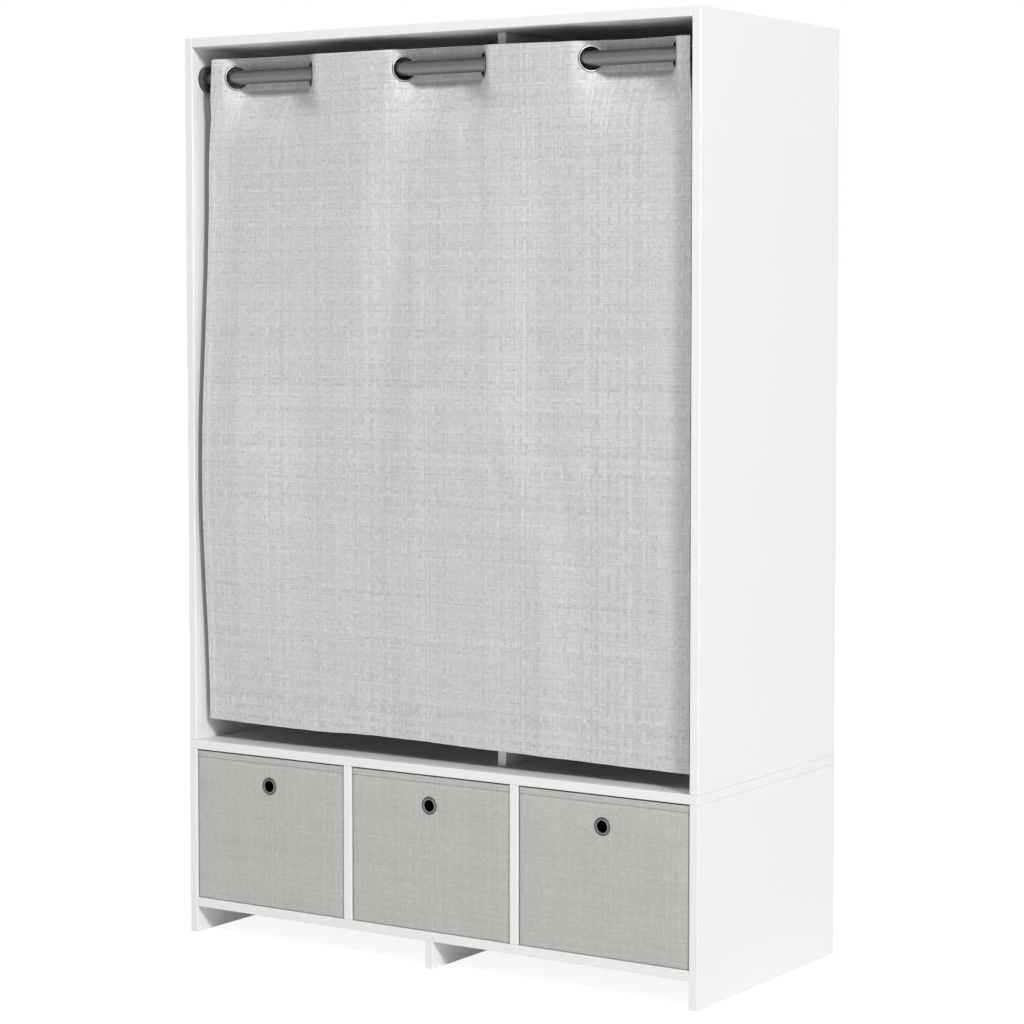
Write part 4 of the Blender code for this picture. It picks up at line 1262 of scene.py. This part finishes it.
class WARDROBE_OT_press_eyelets(Operator):
    """Press the six metal eyelets into the curtain"""

    bl_idname = "wardrobe.press_eyelets"
    bl_label = "Press Curtain Eyelets"

    def execute(self, context):
        settings = context.scene.wardrobe_metal
        dark, bright = settings.eyelet_dark_and_shade_colour, settings.eyelet_worn_and_highlight_colour
        plating = plated_finish("eyelet_plate", dark, bright, 0.34)
        grip, half = EYELET_GRIP / 2, EYELET_THICKNESS / 2
        middle, reach = (EYELET_RADIUS + EYELET_BORE) / 2, (EYELET_RADIUS - EYELET_BORE) / 2
        dome = arc((middle, grip), (reach, half - grip), 180, 0, 21)
        # Worn plating with a painted highlight on top of each dome, dark plating with painted shade down
        # its sides and on the barrel
        from_crest = np.abs(dome[:, 0] - middle) / reach
        highlight_share = soft_step((CREST_SHARE - from_crest) / CREST_BLEND)
        under = np.array([(EYELET_BARREL, grip), (EYELET_BARREL, -grip)])
        profile = np.concatenate([dome, under, dome[::-1] * (1, -1)])
        crest = np.concatenate([highlight_share, (0, 0), highlight_share[::-1]])
        for index, (centre, turn, sense) in enumerate(EYELETS):
            axis = (sense * math.sin(turn), -math.cos(turn), 0)
            node, steps = f"curtain_eyelet_{index + 1}", settings.round_steps
            ring = turned(f"{node}_ring", profile, steps, centre, axis, plating, crest=crest)
            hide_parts(node)
            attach(ring, f"eyelet_{index + 1}")
            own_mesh(ring)
        return {"FINISHED"}


# Fabric boxes


# Sizes of the boxes' grid: the wall, the angle left out where the skins meet on the rim, the rows
# round the rim and the lower edge, those of the base as shares of its width, the close lines at
# a seam, the step of the wall's rows and the columns of the sides
BOX_WALL = 0.004
RIM_GAP_ANGLE = 12
RIM_LEVELS = 4
ARC_LEVELS = 4
BASE_SHARES = (0.8, 0.6, 0.4, 0.2, 0.05)
BOX_SEAM_LINES = 0.0008 * np.array((-2, -1, 0, 1, 2))
BOX_ROW_STEP = 0.005
FRONT_COLUMNS = 64
SIDE_COLUMNS = 34

# The seams: the hem's rise and its blend, a groove's half width, how much of it the base seam
# has, the length over which the walls' swell begins, and over which it ends at an eyelet
HEM_RISE = 0.0004
HEM_BLEND = 0.0012
GROOVE_WIDTH = 0.0009
BASE_SEAM_SHARE = 0.4
PANEL_BLEND = 0.03
EYELET_BLEND = 0.012

# The stitches of the boxes' hem
BOX_STITCH_PITCH = 0.0034
BOX_STITCH_LENGTH = 0.0024
BOX_THREAD_RADIUS = 0.00024


def side_shares(count, seam_inset, half_length):
    """Places along one side as shares of its half length, with close lines at both seams."""
    lines = (half_length - seam_inset) / half_length + BOX_SEAM_LINES / half_length
    inner = np.linspace(-lines[0], lines[0], count)
    return np.concatenate([[-1], -lines[::-1], inner[1:-1], lines, [1]])


def rounded_plan(half_x, half_y, radius, shares_x, shares_y):
    """Points and outward directions round a rectangle with round corners, anticlockwise from its
    front left: straight sides at the given shares and quarter circles between them."""
    angle = np.radians(np.linspace(0, 90, 7))[1:-1]
    flat_x, flat_y = half_x - radius, half_y - radius
    places, outward = [], []
    for quarter, (shares, length) in enumerate(((shares_x, flat_x), (shares_y, flat_y)) * 2):
        forward = np.array((math.cos(quarter * math.pi / 2), math.sin(quarter * math.pi / 2)))
        out = np.array((forward[1], -forward[0]))
        other = flat_y if quarter % 2 == 0 else flat_x
        base = out * (other + radius)
        places.append(base + forward * (shares * length)[:, None])
        outward.append(np.repeat(out[None], len(shares), 0))
        corner = out * other + forward * length
        turn = np.cos(angle)[:, None] * out + np.sin(angle)[:, None] * forward
        places.append(corner + radius * turn)
        outward.append(turn)
    return np.concatenate(places), np.concatenate(outward)


def wall_heights(height, settings):
    """Heights of the wall's rows from the rim down to the bottom arc, close at the two seams."""
    top, bottom, end_rows = height - BOX_WALL / 2, settings.corner_round, 4
    hem = height - settings.hem_depth - BOX_SEAM_LINES
    base = settings.base_seam - BOX_SEAM_LINES
    upper = np.linspace(top, hem[0], end_rows)
    plain = np.linspace(hem[-1], base[0], round((hem[-1] - base[0]) / BOX_ROW_STEP) + 1)
    lower = np.linspace(base[-1], bottom, end_rows)
    return np.concatenate([upper, hem[1:], plain[1:], base[1:], lower[1:]])


def box_skin(half_x, half_y, height, inner, settings):
    """Points and outward directions of a box's outer or inner skin, as grids whose rows go from
    the rim down the wall, round the bottom edge and in to the middle of the base. Both skins have
    the same grid, so that they can be joined."""
    shares_x = side_shares(FRONT_COLUMNS, settings.seam_inset, half_x)
    shares_y = side_shares(SIDE_COLUMNS, settings.seam_inset, half_y)
    rim, edge = BOX_WALL / 2, settings.corner_round
    wall = BOX_WALL if inner else 0.0
    small = edge / 2 if inner else edge
    tip = np.radians(np.linspace(RIM_GAP_ANGLE, 90, RIM_LEVELS + 1))[:-1]
    inset = rim + (1 if inner else -1) * rim * np.sin(tip)
    levels = height - rim + rim * np.cos(tip)
    heights = wall_heights(height, settings)
    low, high = heights[-1], heights[0]
    heights = wall + small + (heights - low) * (high - wall - small) / (high - low)
    turn = np.radians(np.linspace(0, 90, ARC_LEVELS + 1))[1:]
    insets = np.concatenate([inset, np.full(len(heights), wall), wall + small * (1 - np.cos(turn))])
    levels = np.concatenate([levels, heights, wall + small * (1 - np.sin(turn))])
    points, outward = [], []
    for inset, level in zip(insets, levels):
        radius = max(small - (inset - wall), small / 4) if inset > wall else small
        place, out = rounded_plan(half_x - inset, half_y - inset, radius, shares_x, shares_y)
        points.append(np.column_stack([place, np.full(len(place), level)]))
        outward.append(np.column_stack([out, np.zeros(len(out))]))
    last = points[-1]
    for share in BASE_SHARES:
        points.append(np.column_stack([last[:, :2] * share, last[:, 2]]))
        outward.append(np.zeros_like(last))
    return np.array(points), np.array(outward), len(levels)


def seam_relief(points, outward, half_x, half_y, height, settings, seed):
    """How far the outer skin stands out: a hem band at the rim, grooves at the hem, base and
    corner seams, a crown on each wall and shallow creases."""
    x, y, z = np.moveaxis(points, -1, 0)
    on_front = np.abs(outward[..., 1]) > 0.5
    along = np.where(on_front, x, y)
    half = np.where(on_front, half_x, half_y)
    from_corner = half - np.abs(along)
    from_rim = height - z
    hem_band = HEM_RISE * soft_step((settings.hem_depth - from_rim) / HEM_BLEND + 0.5)
    past_corner, past_base = from_corner - settings.seam_inset, z - settings.base_seam
    past_hem = from_rim - settings.hem_depth
    groove, inside = 0.0, 1.0
    for distance, share in ((past_corner, 1.0), (past_base, BASE_SEAM_SHARE), (past_hem, 1.0)):
        groove = np.maximum(groove, share * np.exp(-((distance / GROOVE_WIDTH) ** 2)))
        inside = inside * soft_step(distance / PANEL_BLEND)
    crease = wrinkles(along + 2 * on_front, z, seed, short=0.035, long=0.16)
    crease = crease + 0.5 * wrinkles(along, z, seed + 50, short=0.015, long=0.05)
    relief = hem_band - settings.seam_depth * groove + settings.crown * inside
    return relief + settings.crease_depth * crease * (0.25 + 0.75 * inside)


def cloth_map(skin, walls, source, face_sets):
    """Places in the box's cloth for each corner of each face. The wall is unrolled, by the length
    round the plan and the length down a column, with a full turn added behind the last column.
    The base is seen from above."""
    columns = skin.shape[1]
    level = skin[walls // 2, :, :2]
    around = np.cumsum(np.linalg.norm(np.diff(level, axis=0, append=level[:1]), axis=1))
    turn, around = around[-1], np.concatenate([[0], around[:-1]])
    down = np.linalg.norm(np.diff(skin[:, 0], axis=0, prepend=skin[:1, 0]), axis=1).cumsum()
    plan = skin.reshape(-1, 3)[:, :2]
    places = []
    for faces in face_sets:
        row, column = np.divmod(source[faces], columns)
        beyond = (column == 0) & (column.max(axis=1) == columns - 1)[:, None]
        wall = np.stack([around[column] + turn * beyond, down[row]], -1)
        on_base = row.min(axis=1) >= walls - 1
        places.append(np.where(on_base[:, None, None], plan[source[faces]], wall).reshape(-1, 2))
    return np.concatenate(places)


def sew_box(side, settings, cloth, thread):
    """One fabric box: an outer and an inner skin on the same grid, joined at the rim and round
    the finger hole, the outer one with its seams and creases."""
    node, body = f"box_{side}_shell", f"box_{side}"
    low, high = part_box(node)
    half_x, half_y, height = (high.x - low.x) / 2, (high.y - low.y) / 2, high.z - low.z
    origin = np.array(((low.x + high.x) / 2, (low.y + high.y) / 2, low.z))
    outer, outward, walls = box_skin(half_x, half_y, height, False, settings)
    inner, _, _ = box_skin(half_x, half_y, height, True, settings)
    relief = seam_relief(outer, outward, half_x, half_y, height, settings, SIDES.index(side) + 3)
    eyelet = centre_of(f"box_{side}_eyelet") - origin
    near = np.hypot(outer[..., 0] - eyelet[0], outer[..., 2] - eyelet[2])
    on_front = outward[..., 1] < -0.9
    relief *= 1 - on_front * (1 - soft_step((near - FINGER_RADIUS) / EYELET_BLEND))
    relief[:RIM_LEVELS] *= np.linspace(0, 1, RIM_LEVELS)[:, None]
    outer = outer + relief[..., None] * outward

    rows, columns = outer.shape[:2]
    quads = grid_quads(rows, columns, False, True)
    kept, rim = opened(quads, (on_front & (near < FINGER_HOLE)).ravel())
    skins = [outer.reshape(-1, 3), inner.reshape(-1, 3)]
    for skin in skins:
        offset = skin[rim][:, [0, 2]] - eyelet[[0, 2]]
        offset *= FINGER_HOLE / np.linalg.norm(offset, axis=1, keepdims=True)
        skin[np.ix_(rim, [0, 2])] = eyelet[[0, 2]] + offset
    capped = np.arange(rows * columns) >= (rows - 1) * columns
    points, faces, source = thickened(*skins, kept, capped)
    rings = np.flatnonzero(capped[source]).reshape(2, columns)
    caps = [rings[:1, ::-1], rings[1:]]
    face_sets = [faces, *caps]
    mapped = cloth_map(outer, walls, source, face_sets)
    box = put_mesh(f"box_{side}_cloth", points + origin, face_sets, cloth, BOX_EDGE, mapped)
    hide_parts(node)

    seam_row = int(np.argmin(np.abs(outer[:walls, 0, 2] - height + settings.hem_depth)))
    line, out = outer[seam_row], outward[seam_row]
    line, out = np.concatenate([line, line[:1]]), np.concatenate([out, out[:1]])
    sewn = stitches(line + origin, out, BOX_STITCH_PITCH, BOX_STITCH_LENGTH, BOX_THREAD_RADIUS)
    hem = put_stitches(f"box_{side}_stitches", [sewn], thread)
    for piece in (box, hem):
        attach(piece, body)


class WARDROBE_OT_sew_boxes(Operator):
    """Sew the three fabric boxes and cover their base boards"""

    bl_idname = "wardrobe.sew_boxes"
    bl_label = "Sew Boxes"

    def execute(self, context):
        settings = context.scene.wardrobe_boxes
        cloth = box_cloth_finish("box_cloth", settings, settings.cloth_colour, 0.05)
        below = settings.base_colour
        cover = box_cloth_finish("base_board_cloth", settings, below, 0.03, own_map=False)
        thread = thread_finish("box_thread", settings.cloth_colour)
        for side in SIDES:
            sew_box(side, settings, cloth, thread)
            dress_node(f"box_{side}_base", cover)
        return {"FINISHED"}


class WARDROBE_OT_press_finger_eyelets(Operator):
    """Press the finger eyelets into the box fronts"""

    bl_idname = "wardrobe.press_finger_eyelets"
    bl_label = "Press Finger Eyelets"

    def execute(self, context):
        settings = context.scene.wardrobe_metal
        dark, bright = settings.finger_colour, settings.finger_roll_highlight_colour
        plating = plated_finish("finger_eyelet_plate", dark, bright, 0.28)
        half, grip, roll, rise = FINGER_THICKNESS / 2, BOX_WALL / 2 + 0.0003, 0.0010, 0.0007
        inner = FINGER_BORE + 2 * roll
        flange = arc((inner, grip), (FINGER_RADIUS - FINGER_BORE - 2 * roll, rise), 0, 90, 9)
        bead = arc((FINGER_BORE + roll, half - roll), (roll, roll), 0, 180, 12)
        front = np.concatenate([flange, bead])
        back = front[::-1] * (1, -1)
        barrel = np.array([(FINGER_BARREL, -grip), (FINGER_BARREL, grip)])
        profile = np.concatenate([front, back, barrel])
        # Worn plating with a painted highlight on top of the rolled bead, and a little on the flange
        # towards it
        on_bead = np.sin(np.linspace(0.4, math.pi, len(bead)))
        highlight_share = np.concatenate([np.linspace(0, 0.25, len(flange)), on_bead])
        crest = np.concatenate([highlight_share, highlight_share[::-1], (0, 0)])
        for side in SIDES:
            node = f"box_{side}_eyelet"
            steps, centre = settings.round_steps, centre_of(node)
            ring = turned(f"{node}_ring", profile, steps, centre, (0, -1, 0), plating, crest=crest)
            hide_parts(node)
            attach(ring, f"box_{side}")
        return {"FINISHED"}


# Sidebar and registration


OPERATORS = (
    WARDROBE_OT_set_stage,
    WARDROBE_OT_finish_boards,
    WARDROBE_OT_fit_tubes,
    WARDROBE_OT_fit_fittings,
    WARDROBE_OT_hang_curtain,
    WARDROBE_OT_press_eyelets,
    WARDROBE_OT_sew_boxes,
    WARDROBE_OT_press_finger_eyelets,
)


class WARDROBE_PT_sidebar(Panel):
    """Lists the steps that dress the wardrobe"""

    bl_idname = "WARDROBE_PT_sidebar"
    bl_label = "Curtain Wardrobe"
    bl_space_type = "VIEW_3D"
    bl_region_type = "UI"
    bl_category = "Wardrobe"

    def draw(self, context):
        column = self.layout.column(align=True)
        for operator in OPERATORS:
            column.operator(operator.bl_idname)


CLASSES = (*SETTINGS.values(), *OPERATORS, WARDROBE_PT_sidebar)


def register():
    for cls in CLASSES:
        bpy.utils.register_class(cls)
    for name, cls in SETTINGS.items():
        setattr(bpy.types.Scene, name, PointerProperty(type=cls))


def unregister():
    for name in SETTINGS:
        delattr(bpy.types.Scene, name)
    for cls in reversed(CLASSES):
        bpy.utils.unregister_class(cls)


def main():
    register()
    bpy.ops.wardrobe.set_stage()
    bpy.ops.wardrobe.finish_boards()
    bpy.ops.wardrobe.fit_tubes()
    bpy.ops.wardrobe.fit_fittings()
    bpy.ops.wardrobe.hang_curtain()
    bpy.ops.wardrobe.press_eyelets()
    bpy.ops.wardrobe.sew_boxes()
    bpy.ops.wardrobe.press_finger_eyelets()


if __name__ == "__main__":
    main()
